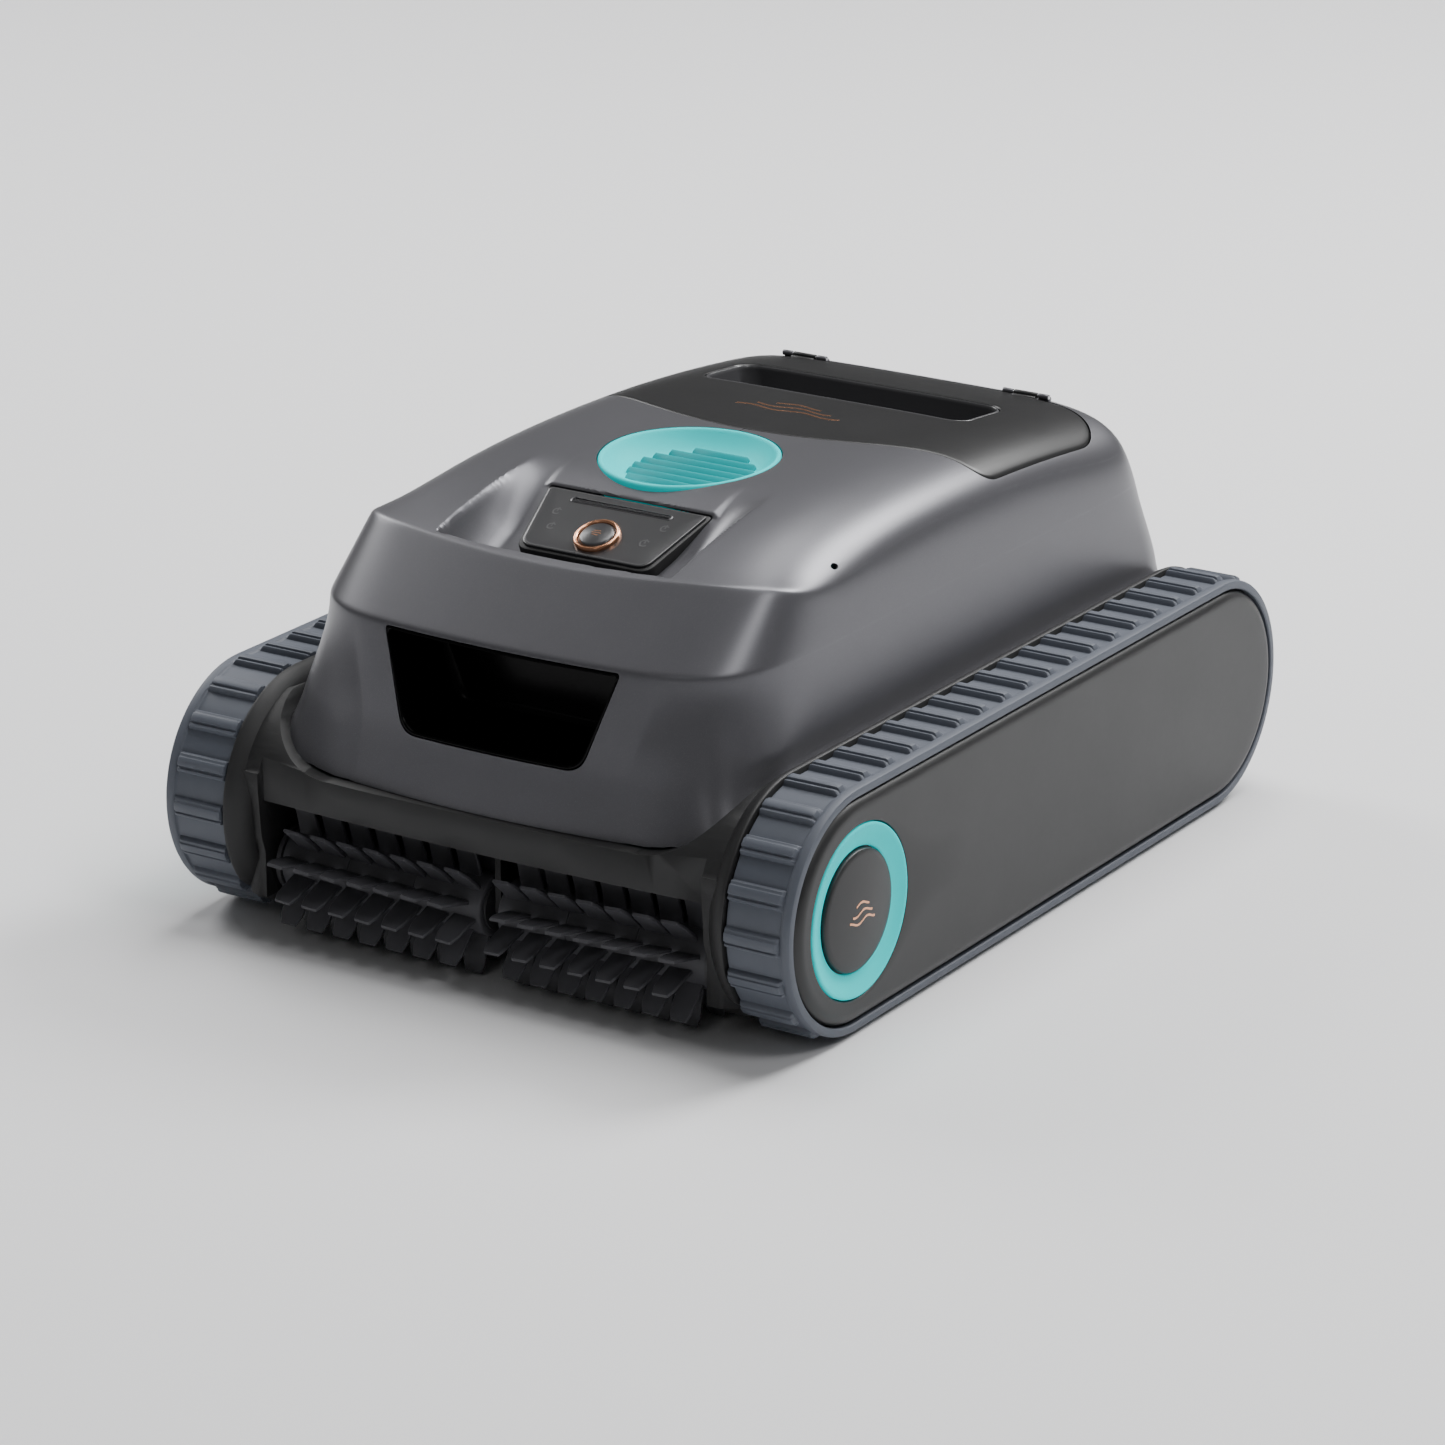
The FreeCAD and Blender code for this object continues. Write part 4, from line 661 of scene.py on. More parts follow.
def pocketLoop(grow, steps=10):
    top = pocket["topZ"] + grow
    low = pocket["lowZ"] - grow
    topHalf = pocket["topHalf"] + grow
    lowHalf = pocket["lowHalf"] + grow
    corners = [
        ((-topHalf, top), 2.2), ((-lowHalf, low), pocket["corner"]),
        ((lowHalf, low), pocket["corner"]), ((topHalf, top), 2.2)]
    points = []
    for i, (corner, radius) in enumerate(corners):
        p = np.array(corner)
        before = np.array(corners[i - 1][0]) - p
        after = np.array(corners[(i + 1) % 4][0]) - p
        u = before / np.linalg.norm(before)
        v = after / np.linalg.norm(after)
        half = math.acos(float(np.dot(u, v))) / 2
        reach = radius / math.tan(half)
        for t in np.linspace(0, 1, steps):
            a = p + u * reach * (1 - t) ** 2
            points.append(a + v * reach * t ** 2)
        points.extend([p + after * f for f in np.linspace(0.25, 0.75, 7)])
    return np.array(points)


def atDepth(loop, y):
    return np.column_stack([loop[:, 0], np.full(len(loop), y), loop[:, 1]])


def frontFaceY(x, z):
    levels = [s[0] for s in hood["sections"]]
    front = np.interp(z, levels, [s[2] for s in hood["sections"]])
    flat = np.interp(z, levels, [s[1] - s[4] for s in hood["sections"]])
    return front + 5.0 * (x / flat) ** 2


def onPanel(points):
    points = np.asarray(points, float)
    c = math.cos(panel["tilt"])
    s = math.sin(panel["tilt"])
    z0 = panel["lowZ"] + (panel["buttonY"] - panel["lowY"]) * panel["slope"]
    y = points[:, 1] * c - points[:, 2] * s + panel["buttonY"]
    z = points[:, 1] * s + points[:, 2] * c + z0
    return np.stack([points[:, 0], y, z], 1)


panelLowV = (panel["lowY"] - panel["buttonY"]) / math.cos(panel["tilt"])
panelHighV = (panel["highY"] - panel["buttonY"]) / math.cos(panel["tilt"])


def roundedPolygon(corners, radii, steps=8):
    points = []
    count = len(corners)
    for i in range(count):
        p = np.array(corners[i], float)
        u = np.array(corners[i - 1], float) - p
        v = np.array(corners[(i + 1) % count], float) - p
        u /= np.linalg.norm(u)
        v /= np.linalg.norm(v)
        reach = radii[i]
        for t in np.linspace(0, 1, steps):
            points.append(p + u * reach * (1 - t) ** 2 + v * reach * t ** 2)
    return np.array(points)


def panelLoop(grow):
    low = panel["lowHalf"] + grow
    high = panel["highHalf"] + grow
    corners = [(-low, panelLowV - grow), (low, panelLowV - grow), (high, panelHighV + grow), (-high, panelHighV + grow)]
    return roundedPolygon(corners, (6.0, 6.0, 2.5, 2.5))


def plateRings(builder, loopOf, profile, capStart=True, capEnd=True):
    rings = []
    for grow, height in profile:
        loop = loopOf(grow)
        rings.append(atHeight(loop, height))
    builder.rings(rings, capStart=capStart, capEnd=capEnd)


def panelPiece(builder, name, sharpAngle=35.0):
    builder.points = onPanel(builder.points).tolist()
    return builder.piece(name, sharpAngle)


hingePinLow, hingePinHigh = boxMm("lid_hinge_pins")
hingeY = (hingePinLow[1] + hingePinHigh[1]) / 2
hingeZ = (hingePinLow[2] + hingePinHigh[2]) / 2
ventLow, ventHigh = boxMm("vent_grille")
ventY = (ventLow[1] + ventHigh[1]) / 2
smallHole = (122.6, -103.0, 200.0, 1.8)   # middle and radius, in the right shoulder
hinge = {"near": 56.0, "far": 77.0, "middle": 66.5, "lugHalf": 2.9, "barrelHalf": 6.8, "radius": 1.5}


def addRod(builder, start, end, radius, bevel, count=24):
    start = np.array(start, float)
    end = np.array(end, float)
    axis = end - start
    length = np.linalg.norm(axis)
    axis /= length
    side = np.cross(axis, [0.3, 0.5, 0.81])
    side /= np.linalg.norm(side)
    other = np.cross(axis, side)
    a = np.linspace(0, 2 * math.pi, count, endpoint=False)
    circle = np.outer(np.cos(a), side) + np.outer(np.sin(a), other)
    rings = []
    for along, r in ((0, radius - bevel), (bevel * 0.3, radius - bevel * 0.3), (bevel, radius),
                     (length - bevel, radius), (length - bevel * 0.3, radius - bevel * 0.3), (length, radius - bevel)):
        rings.append(start + axis * along + circle * r)
    builder.rings(rings, capStart=True, capEnd=True)


def addCrossRod(builder, x, half, y, z, radius, bevel, count=24):
    addRod(builder, (x - half, y, z), (x + half, y, z), radius, bevel, count)


def cutHood():
    tool = Builder()
    opening = growLoop(lidLoop, lid["gap"])
    tool.prism(atHeight(opening, 150.0), atHeight(opening, 250.0))
    mouth = pocketLoop(pocket["wall"])
    tool.prism(atDepth(mouth, -250.0), atDepth(mouth, -176.0))
    turn = np.linspace(0, 2 * math.pi, 96, endpoint=False)
    circle = np.stack([45.3 * np.cos(turn), ventY + 45.3 * np.sin(turn)], 1)
    tool.prism(atHeight(circle, 190.0), atHeight(circle, 240.0))
    x, y, z, r = smallHole
    ring = np.array([
        [x, y + 1.5 * r * math.cos(a), z + r * math.sin(a)]
        for a in np.linspace(0, 2 * math.pi, 20, endpoint=False)])
    tool.prism(ring + [8.0, 0.0, 3.0], ring + [-12.0, 0.0, -6.0])
    cutAway(hoodShell, tool.piece("cutter"), 28.0)
    pockets = Builder()
    for side in (-1, 1):
        addCrossRod(pockets, side * hinge["middle"], 7.4, hingeY, hingeZ, 2.8, 0.1, 32)
    cutAway(hoodShell, pockets.piece("pocketCutter"), 28.0)
    seat = Builder()
    plateRings(seat, panelLoop, [(2.1, -9.4), (2.1, 6.0)])
    cutAway(hoodShell, panelPiece(seat, "panelCutter"), 28.0)


cutHood()
install(hoodShell, "chassis", "shell_grey", "shellGrey", "top_shell")
print("stage: hood cut", len(hoodShell.data.vertices))


# the ledge runs under the lid's edge
def makeHoodLedge():
    builder = Builder()
    rings = []
    for grow, drop in ((-12.0, -8.8), (-12.0, -6.2), (-11.6, -6.0), (0.4, -6.0), (0.7, -2.6), (3.5, -2.6), (3.5, -8.8)):
        loop = growLoop(lidLoop, grow)
        z = dropOnto(roofTree, growLoop(lidLoop, min(grow, 2.5))) + drop
        rings.append(np.column_stack([loop, z]))
    builder.rings(rings, wrapRows=True)
    return builder.piece("hoodLedge")


install(makeHoodLedge(), "chassis", "shell_grey", "shellGrey")


def makeHingeLugs():
    builder = Builder()
    for side in (-1, 1):
        for x in (hinge["near"] * side, hinge["far"] * side):
            addCrossRod(builder, x, hinge["lugHalf"], hingeY, hingeZ, hinge["radius"], 0.4)
            addCrossRod(builder, x, 2.6, hingeY + 1.9, hingeZ - 1.6, 1.5, 0.3)
    return builder.piece("hingeLugs")


install(makeHingeLugs(), "chassis", "shell_grey", "shellGrey")


def makeLid():
    builder = Builder()
    slotGrown = growLoop(slotLoop, 2.0)
    edge = lid["edge"]
    rings = []

    def addRing(loop, drop):
        rings.append(np.column_stack([loop, dropOnto(roofTree, loop) + drop]))

    for a in (1.0, 0.66, 0.33, 0.0):
        turn = a * math.pi / 2
        inset = edge * (1 - math.sin(turn)) if a < 1 else 0.0
        addRing(growLoop(lidLoop, -inset), -edge * (1 - math.cos(turn)))
    outer = growLoop(lidLoop, -edge)
    inner = growLoop(slotGrown, edge)
    for t in np.linspace(0.04, 0.96, 24):
        addRing(outer * (1 - t) + inner * t, 0.0)
    for a in (0.0, 0.33, 0.66, 1.0):
        turn = a * math.pi / 2
        addRing(growLoop(slotGrown, edge * (1 - math.sin(turn))), -edge * (1 - math.cos(turn)))
    addRing(slotGrown, -lid["thick"])
    addRing(growLoop(slotGrown, 3.0), -lid["thick"])
    for t in (0.25, 0.5, 0.75):
        addRing(outer * t + inner * (1 - t), -lid["thick"])
    addRing(growLoop(lidLoop, -1.0), -lid["thick"])
    addRing(lidLoop, -lid["thick"] + 0.6)
    builder.rings(rings, wrapRows=True)
    for side in (-1, 1):
        x = side * hinge["middle"]
        addCrossRod(builder, x, hinge["barrelHalf"], hingeY, hingeZ, hinge["radius"], 0.4)
        addCrossRod(builder, x, hinge["barrelHalf"], hingeY - 2.4, hingeZ - 1.4, 1.5, 0.4)
    return builder.piece("lidPanel", 32.0)


install(makeLid(), "lid", "cover_black", "lidBlack", "lid")


def makeSlotCup():
    builder = Builder()
    floorZ = 184.0
    rings = []

    def ring(grow, z=None, drop=0.0):
        loop = growLoop(slotLoop, grow)
        height = dropOnto(roofTree, loop) + drop if z is None else np.full(len(loop), z)
        rings.append(np.column_stack([loop, height]))

    ring(1.7, None, -1.2)
    ring(1.3, None, -0.55)
    ring(0.7, None, -0.45)
    ring(0.15, None, -1.0)
    ring(0.0, None, -2.4)
    ring(-0.4, floorZ + 6.0)
    ring(-1.2, floorZ + 2.4)
    ring(-2.8, floorZ + 0.6)
    ring(-5.0, floorZ)
    for k, squeeze in enumerate((0.93, 0.915, 0.905, 0.90)):
        rings[5 + k][:, 0] *= squeeze
    for k in (0.75, 0.5, 0.25, 0.04):
        mid = np.array([0.0, (lid["slotFront"] + lid["slotRear"]) / 2])
        loop = mid + (growLoop(slotLoop, -5.0) - mid) * k
        loop[:, 0] *= 0.90
        rings.append(atHeight(loop, floorZ))
    builder.rings(rings, capEnd=True)
    underside = ((-4.0, floorZ - 2.0), (1.0, floorZ - 1.6), (1.9, floorZ))
    back = [atHeight(growLoop(slotLoop, grow), z) for grow, z in underside]
    top = growLoop(slotLoop, 1.9)
    back.append(np.column_stack([top, dropOnto(roofTree, top) - 1.4]))
    builder.rings(back, capStart=True)
    return builder.piece("slotCup", 50.0)


# the slot cup takes the lighter grey, a painted reflection on black plastic
install(makeSlotCup(), "lid", "cover_black", "slotPaintedReflectionGrey", "handle_cup")


# copper waves, a plain ornament
def addRibbon(builder, centre, across, up, width, rise):
    centre = np.asarray(centre, float)
    rings = []
    for s, h in ((-1, -0.3), (-1, 0.6), (-0.8, 1.0), (0.8, 1.0), (1, 0.6), (1, -0.3)):
        rings.append(centre + across * (s * width / 2) + up * (h * rise))
    rings = np.asarray(rings)
    rows, columns = rings.shape[:2]
    faces = gridFaces(rows, columns, True, False)
    faces.append(tuple(r * columns for r in range(rows)))
    faces.append(tuple(r * columns + columns - 1 for r in range(rows)))
    builder.add(rings.reshape(-1, 3), faces)


def makeLidMark():
    builder = Builder()
    for k, (half, y) in enumerate(((30.0, 44.0), (22.0, 50.0), (13.0, 56.0))):
        x = np.linspace(-half, half, 60)
        loop = np.stack([x, y + 1.6 * np.sin(x * 0.21 + k)], 1)
        z = dropOnto(roofTree, loop)
        line = np.column_stack([loop, z])
        addRibbon(builder, line, np.array([0, 1.0, 0]), np.array([0, 0, 1.0]), 1.7, 0.12)
    return builder.piece("lidWaves")


install(makeLidMark(), "lid", "copper", "copper")
print("stage: lid made")


def makePocket():
    builder = Builder()
    rings = []
    for grow, depth in ((1.7, 9.0), (1.7, 1.2), (1.5, 0.25), (1.0, -0.15), (0.5, -0.1), (0.1, 0.4), (0.0, 1.6)):
        loop = pocketLoop(grow)
        y = frontFaceY(loop[:, 0], loop[:, 1]) + depth
        rings.append(np.column_stack([loop[:, 0], y, loop[:, 1]]))
    for grow, back in ((0.0, 14.0), (-0.5, 6.0), (-1.6, 2.4), (-4.0, 0.4), (-6.5, 0.0)):
        rings.append(atDepth(pocketLoop(grow), pocket["backY"] - back))
    middle = np.array([0.0, (pocket["topZ"] + pocket["lowZ"]) / 2])
    last = pocketLoop(-6.5)
    for k in (0.6, 0.25, 0.03):
        rings.append(atDepth(middle + (last - middle) * k, pocket["backY"]))
    builder.rings(rings, capEnd=True)
    return builder.piece("gripPocket", 50.0)


install(makePocket(), "chassis", "piano_black", "pianoBlack", "grip_liner")


vent = {"radius": 45.0, "bowlRadius": 31.0, "depth": 9.5, "tilt": 2.7, "slats": 8, "z": 217.2}


def lathe(builder, profile, count, origin, axis="z", wrapRows=False):
    a = np.linspace(0, 2 * math.pi, count, endpoint=False)
    rings = []
    for r, h in profile:
        if axis == "z":
            rings.append(np.stack([r * np.cos(a), r * np.sin(a), np.full(count, h)], 1) + origin)
        else:
            rings.append(np.stack([np.full(count, h), r * np.cos(a), r * np.sin(a)], 1) + origin)
    builder.rings(rings, wrapRows)


def ventPlace(points, draped):
    points = np.asarray(points, float)
    slope = math.tan(math.radians(vent["tilt"]))
    plane = vent["z"] + points[:, 1] * slope
    if draped:
        radius = np.hypot(points[:, 0], points[:, 1])
        roof = dropOnto(roofTree, points[:, :2] + np.array([0.0, ventY]))
        share = smoothStep((radius - 24.0) / 18.0)
        plane = plane + (roof - plane) * share
    return np.stack([points[:, 0], points[:, 1] + ventY, points[:, 2] + plane], 1)


def makeVent():
    builder = Builder()
    r = vent["radius"]
    bowl = vent["bowlRadius"]
    depth = vent["depth"]
    profile = [(r - 0.2, -13.0), (r - 0.1, -1.5), (r - 0.3, -0.5), (r - 0.9, 0.1), (r - 1.7, 0.2), (r - 2.5, -0.1)]
    for t in np.linspace(0.06, 1, 12):
        profile.append((r - 2.5 - (r - 2.5 - bowl) * t, -0.1 - (depth - 0.1) * (1 - (1 - t) ** 1.9)))
    profile += [(bowl - 1.0, -depth - 0.4), (bowl - 1.4, -depth - 1.6), (bowl - 1.4, -17.0)]
    lathe(builder, profile, 96, np.zeros(3))
    builder.points = ventPlace(builder.points, True).tolist()
    return builder.piece("ventGrille", 38.0)


def makeVentSlats():
    builder = Builder()
    bowl = vent["bowlRadius"]
    depth = vent["depth"]
    spacing = 2 * bowl / vent["slats"]
    section = [(-2.5, -4.6), (-1.6, -4.9), (1.9, -0.6), (2.4, 0.7), (1.7, 1.3), (0.5, 1.0), (-2.7, -3.2)]
    for i in range(vent["slats"]):
        y = (i - (vent["slats"] - 1) / 2) * spacing
        reach = math.sqrt(max(1.0, (bowl + 0.5) ** 2 - y * y))
        rings = []
        for x in (-reach, -reach + 1.0, reach - 1.0, reach):
            drop = 1.2 if abs(abs(x) - reach) < 0.01 else 0.0
            rings.append([[x, y + py, -depth + 1.6 + pz - drop] for py, pz in section])
        builder.rings(rings, capStart=True, capEnd=True)
    addRod(builder, (0, -bowl, -depth - 5.0), (0, bowl, -depth - 5.0), 1.8, 0.4)
    builder.points = ventPlace(builder.points, False).tolist()
    return builder.piece("ventSlats", 38.0)


install(makeVent(), "chassis", "turquoise", "turquoise", "vent_grille")
# the slats take the darker turquoise copy, painted shade in the vent bowl
install(makeVentSlats(), "chassis", "turquoise", "turquoisePaintedShade")
print("stage: vent made")


def makePod():
    builder = Builder()
    plateRings(builder, panelLoop, [(1.8, -8.6), (1.8, -2.2), (1.5, -1.6), (0.9, -1.3), (-1.0, -1.25), (-8.0, -1.25)])
    return panelPiece(builder, "panelPod")


def makePanelPlate():
    builder = Builder()
    plateRings(builder, panelLoop, [
        (-0.6, -1.9), (0.0, -1.6), (0.0, -0.45), (-0.18, -0.12),
        (-0.55, 0.0), (-1.2, 0.02), (-1.8, -0.08), (-10.0, -0.08)])
    return panelPiece(builder, "panelPlate", 30.0)


# painted highlight: a thin grey line just inside the panel's edge, standing in for the light on its bevel
def makePanelHighlightLine():
    builder = Builder()
    plateRings(builder, panelLoop, [(-0.85, -0.3), (-0.85, 0.07), (-1.25, 0.07), (-1.25, -0.3)], False, False)
    return panelPiece(builder, "panelPaintedHighlight", 30.0)


def rectangle(u0, v0, u1, v1, *height):
    return [(u0, v0, *height), (u1, v0, *height), (u1, v1, *height), (u0, v1, *height)]


def slotPolygon(half, v0, v1):
    def loopOf(grow):
        corners = rectangle(-half - grow, v0 - grow, half + grow, v1 + grow)
        return roundedPolygon(corners, [1.7] * 4)
    return loopOf


def makeLightBar():
    builder = Builder()
    v1 = panelHighV - 4.6
    profile = [(0.0, -1.5), (0.0, 0.05), (-0.25, 0.22), (-0.8, 0.28), (-1.5, 0.28)]
    plateRings(builder, slotPolygon(29.0, v1 - 3.6, v1), profile)
    return panelPiece(builder, "panelLight")


def addIconRing(builder, u, v, radius, width):
    turns = np.linspace(0.6, 2 * math.pi - 0.6, 28)
    line = np.stack([u + radius * np.cos(turns), v + radius * np.sin(turns), np.zeros(28)], 1)
    across = np.stack([np.cos(turns), np.sin(turns), np.zeros(28)], 1)
    section = ((-1, -0.1), (-1, 0.0), (1, 0.0), (1, -0.1))
    rings = np.array([line + across * s * width / 2 + np.array([0, 0, h]) for s, h in section])
    builder.add(rings.reshape(-1, 3), gridFaces(4, 28, True, False))


def makeIcons():
    builder = Builder()
    v = panelHighV
    for u, dv, r in ((-31.0, -16.5, 2.0), (-27.5, -27.5, 2.0), (29.5, -14.5, 2.0), (25.5, -27.0, 2.2)):
        addIconRing(builder, u, v + dv, r, 0.7)
        bar = np.array(rectangle(u - 0.35, v + dv, u + 0.35, v + dv + r + 0.9, 0.0))
        builder.prism(bar - [0, 0, 0.1], bar)
    return panelPiece(builder, "panelIcons")


def makeCopperRing():
    builder = Builder()
    profile = [
        (11.6, -1.8), (11.6, 1.1), (11.4, 1.7), (10.9, 2.05),
        (10.3, 2.05), (9.8, 1.7), (9.45, 0.9), (9.35, -1.8)]
    lathe(builder, profile, 72, np.zeros(3))
    return panelPiece(builder, "powerRing", 50.0)


def makePowerButton():
    builder = Builder()
    profile = [
        (0.02, -4.9), (2.3, -4.9), (2.5, -4.6), (2.5, -2.2), (8.4, -2.2),
        (8.9, -1.8), (8.9, 0.9), (8.6, 1.5), (7.9, 1.9)]
    for t in np.linspace(0.1, 1.0, 8):
        profile.append((7.9 * (1 - t) + 0.02, 1.9 + 0.75 * (1 - (1 - t) ** 2)))
    lathe(builder, profile, 64, np.zeros(3))
    return panelPiece(builder, "powerDome", 40.0)


def makeButtonBars():
    builder = Builder()
    for v in (-1.5, 0.0, 1.5):
        half = 2.6 - abs(v) * 0.5
        bar = np.array(rectangle(-half, v - 0.25, half, v + 0.25, 2.55))
        builder.prism(bar, bar + [0, 0, 0.12])
    return panelPiece(builder, "powerBars")


install(makePod(), "chassis", "chassis_black", "chassisBlack", "control_pod")
install(makePanelPlate(), "chassis", "piano_black", "panelBlack", "control_panel")
# the thin line round the panel is a painted highlight
install(makePanelHighlightLine(), "chassis", "piano_black", "iconAndHighlightGrey")
install(makeLightBar(), "chassis", "light_lens", "lightLens", "light_bar")
install(makeIcons(), "chassis", "light_lens", "iconAndHighlightGrey")
install(makeCopperRing(), "chassis", "copper", "copper", "button_ring")
install(makePowerButton(), "power_button", "piano_black", "panelBlack", "power_button")
install(makeButtonBars(), "power_button", "copper", "copper")
print("stage: panel made")


beltLow, beltHigh = boxMm("right_track_belt")
track = {
    "wheelY": 178.0, "z": (beltLow[2] + beltHigh[2]) / 2, "outer": 58.5, "inner": 55.5, "x0": beltLow[0],
    "x1": beltHigh[0], "ribs": 50, "ribEnd": 171.6, "rimX": 172.6,
    "wheelX": 158.0,
}
ribProfile = [
    (-5.0, 0.0), (-4.7, 0.9), (-4.3, 2.0), (-3.9, 2.35), (-2.9, 2.4), (-2.6, 2.6), (-2.3, 3.3),
    (-1.9, 3.5), (1.2, 3.5), (1.6, 3.3), (1.8, 2.5), (2.0, 2.1), (2.7, 2.1), (2.9, 2.5),
    (3.2, 2.75), (3.9, 2.75), (4.3, 2.3), (4.7, 0.9), (5.0, 0.0)]


def trackPoint(distance, radius):
    run = 2 * track["wheelY"]
    bend = math.pi * track["outer"]
    d = np.mod(distance, 2 * run + 2 * bend)
    y = np.empty_like(d)
    z = np.empty_like(d)
    half = track["wheelY"]
    first = d < half
    y[first] = d[first]
    z[first] = -radius[first]
    rearBend = (d >= half) & (d < half + bend)
    a = -math.pi / 2 + (d[rearBend] - half) / track["outer"]
    y[rearBend] = half + radius[rearBend] * np.cos(a)
    z[rearBend] = radius[rearBend] * np.sin(a)
    top = (d >= half + bend) & (d < half + bend + run)
    y[top] = half - (d[top] - half - bend)
    z[top] = radius[top]
    frontBend = (d >= half + bend + run) & (d < half + 2 * bend + run)
    a = math.pi / 2 + (d[frontBend] - half - bend - run) / track["outer"]
    y[frontBend] = -half + radius[frontBend] * np.cos(a)
    z[frontBend] = radius[frontBend] * np.sin(a)
    last = d >= half + 2 * bend + run
    y[last] = -half + (d[last] - half - 2 * bend - run)
    z[last] = -radius[last]
    return y, z + track["z"]


def makeBelt(side, name):
    pitch = (4 * track["wheelY"] + 2 * math.pi * track["outer"]) / track["ribs"]
    local = [(-pitch / 2, 0.0), (-pitch / 2 + 2.6, 0.0), (-6.4, 0.0)] + ribProfile
    local += [(6.4, 0.0), (pitch / 2 - 2.6, 0.0)]
    stations = []
    heights = []
    for i in range(track["ribs"]):
        for t, h in local:
            stations.append((i + 0.5) * pitch + t)
            heights.append(h)
    stations = np.array(stations)
    heights = np.array(heights)
    rings = []
    x0, x1 = track["x0"], track["x1"]
    across = [(x0 + 0.4, 0.0, -0.5), (x0, 0.0, -1.1), (x0, 0.0, -2.6), (x0 + 0.5, 0.0, -3.0)]
    middle = track["wheelX"]
    inner = [(middle - 3.1, 0, -3.0), (middle - 2.5, 0, -4.2), (middle - 2.2, 0, -6.0), (middle + 2.2, 0, -6.0),
             (middle + 2.5, 0, -4.2), (middle + 3.1, 0, -3.0), (x1 - 0.5, 0, -3.0), (x1, 0, -2.5), (x1, 0, 0.3),
             (x1 - 0.3, 0, 0.9), (x1 - 1.0, 0, 1.3), (track["rimX"] + 1.6, 0, 1.35), (track["rimX"] + 0.6, 0, 1.1),
             (track["rimX"], 0.12, 0.25), (track["ribEnd"] + 0.5, 0.55, 0.0), (track["ribEnd"] - 0.2, 0.88, 0.0),
             (track["ribEnd"] - 1.2, 1.0, 0.0)]
    outerX = np.linspace(track["ribEnd"] - 6.0, x0 + 3.2, 6)
    surface = [(x, 1.0, 0.0) for x in outerX] + [(x0 + 2.0, 1.0, 0.0), (x0 + 1.0, 0.9, 0.0), (x0 + 0.6, 0.5, -0.1)]
    for x, share, base in across + inner + surface:
        radius = track["outer"] + base + heights * share
        y, z = trackPoint(stations, radius)
        rings.append(np.stack([np.full(len(y), side * x), y, z], 1))
    builder = Builder()
    builder.rings(rings, wrapRows=True)
    return builder.piece(name, 32.0)


for side, word in ((1, "right"), (-1, "left")):
    install(makeBelt(side, word + "TrackBelt"), "chassis", "tread_rubber", "treadRubber", word + "_track_belt")
print("stage: tracks made")


cover = {
    "radius": 55.0, "x0": 172.0, "x1": 179.3, "bevel": 6.5, "hubSeat": 42.4, "ringOuter": 42.0, "ringInner": 30.2,
}
hubOrigin = np.array([0.0, -track["wheelY"], track["z"]])


def stadiumLoop(radius, endCount=64, runCount=60):
    w = track["wheelY"]
    front = np.linspace(math.pi / 2, 1.5 * math.pi, endCount, endpoint=False)
    rear = np.linspace(-math.pi / 2, math.pi / 2, endCount, endpoint=False)
    lowRun = np.linspace(-w, w, runCount, endpoint=False)
    highRun = np.linspace(w, -w, runCount, endpoint=False)
    return np.concatenate([
        np.stack([-w + radius * np.cos(front), radius * np.sin(front)], 1),
        np.stack([lowRun, np.full(runCount, -radius)], 1),
        np.stack([w + radius * np.cos(rear), radius * np.sin(rear)], 1),
        np.stack([highRun, np.full(runCount, radius)], 1)])


def makeCover(side, name):
    outer = stadiumLoop(cover["radius"])
    hub = np.array([-track["wheelY"], 0.0])
    toward = outer - hub
    toward /= np.linalg.norm(toward, axis=1)[:, None]
    rings = []

    def ring(loop, x):
        rings.append(np.column_stack([np.full(len(loop), side * x), loop[:, 0], loop[:, 1] + track["z"]]))

    ring(stadiumLoop(cover["radius"] - 2.5), cover["x0"])
    ring(stadiumLoop(cover["radius"] - 0.3), cover["x0"])
    ring(outer, cover["x0"] + 0.4)
    ring(outer, cover["x0"] + 2.0)
    for t in np.linspace(0, 1, 9):
        inset = cover["bevel"] * (1 - math.cos(t * math.pi / 2)) ** 0.9
        rise = math.sin(t * math.pi / 2)
        ring(stadiumLoop(cover["radius"] - inset), cover["x0"] + 2.3 + (cover["x1"] - cover["x0"] - 2.3) * rise)
    flat = stadiumLoop(cover["radius"] - cover["bevel"] - 1.0)
    rim = hub + toward * (cover["hubSeat"] + 1.2)
    for t in (0.02, 0.15, 0.35, 0.6, 0.85, 1.0):
        ring(flat * (1 - t) + rim * t, cover["x1"])
    ring(hub + toward * (cover["hubSeat"] + 0.5), cover["x1"] - 0.15)
    ring(hub + toward * cover["hubSeat"], cover["x1"] - 0.8)
    ring(hub + toward * cover["hubSeat"], cover["x0"] + 2.6)
    ring(hub + toward * 8.0, cover["x0"] + 2.5)
    ring(hub + toward * 8.0, cover["x0"] + 0.3)
    ring(hub + toward * (cover["hubSeat"] + 1.5), cover["x0"] + 0.3)
    ring(hub + toward * (cover["hubSeat"] + 2.0), cover["x1"] - 2.6)
    ring(stadiumLoop(cover["radius"] - cover["bevel"] - 2.0), cover["x1"] - 2.6)
    builder = Builder()
    builder.rings(rings, wrapRows=True)
    return builder.piece(name, 40.0)


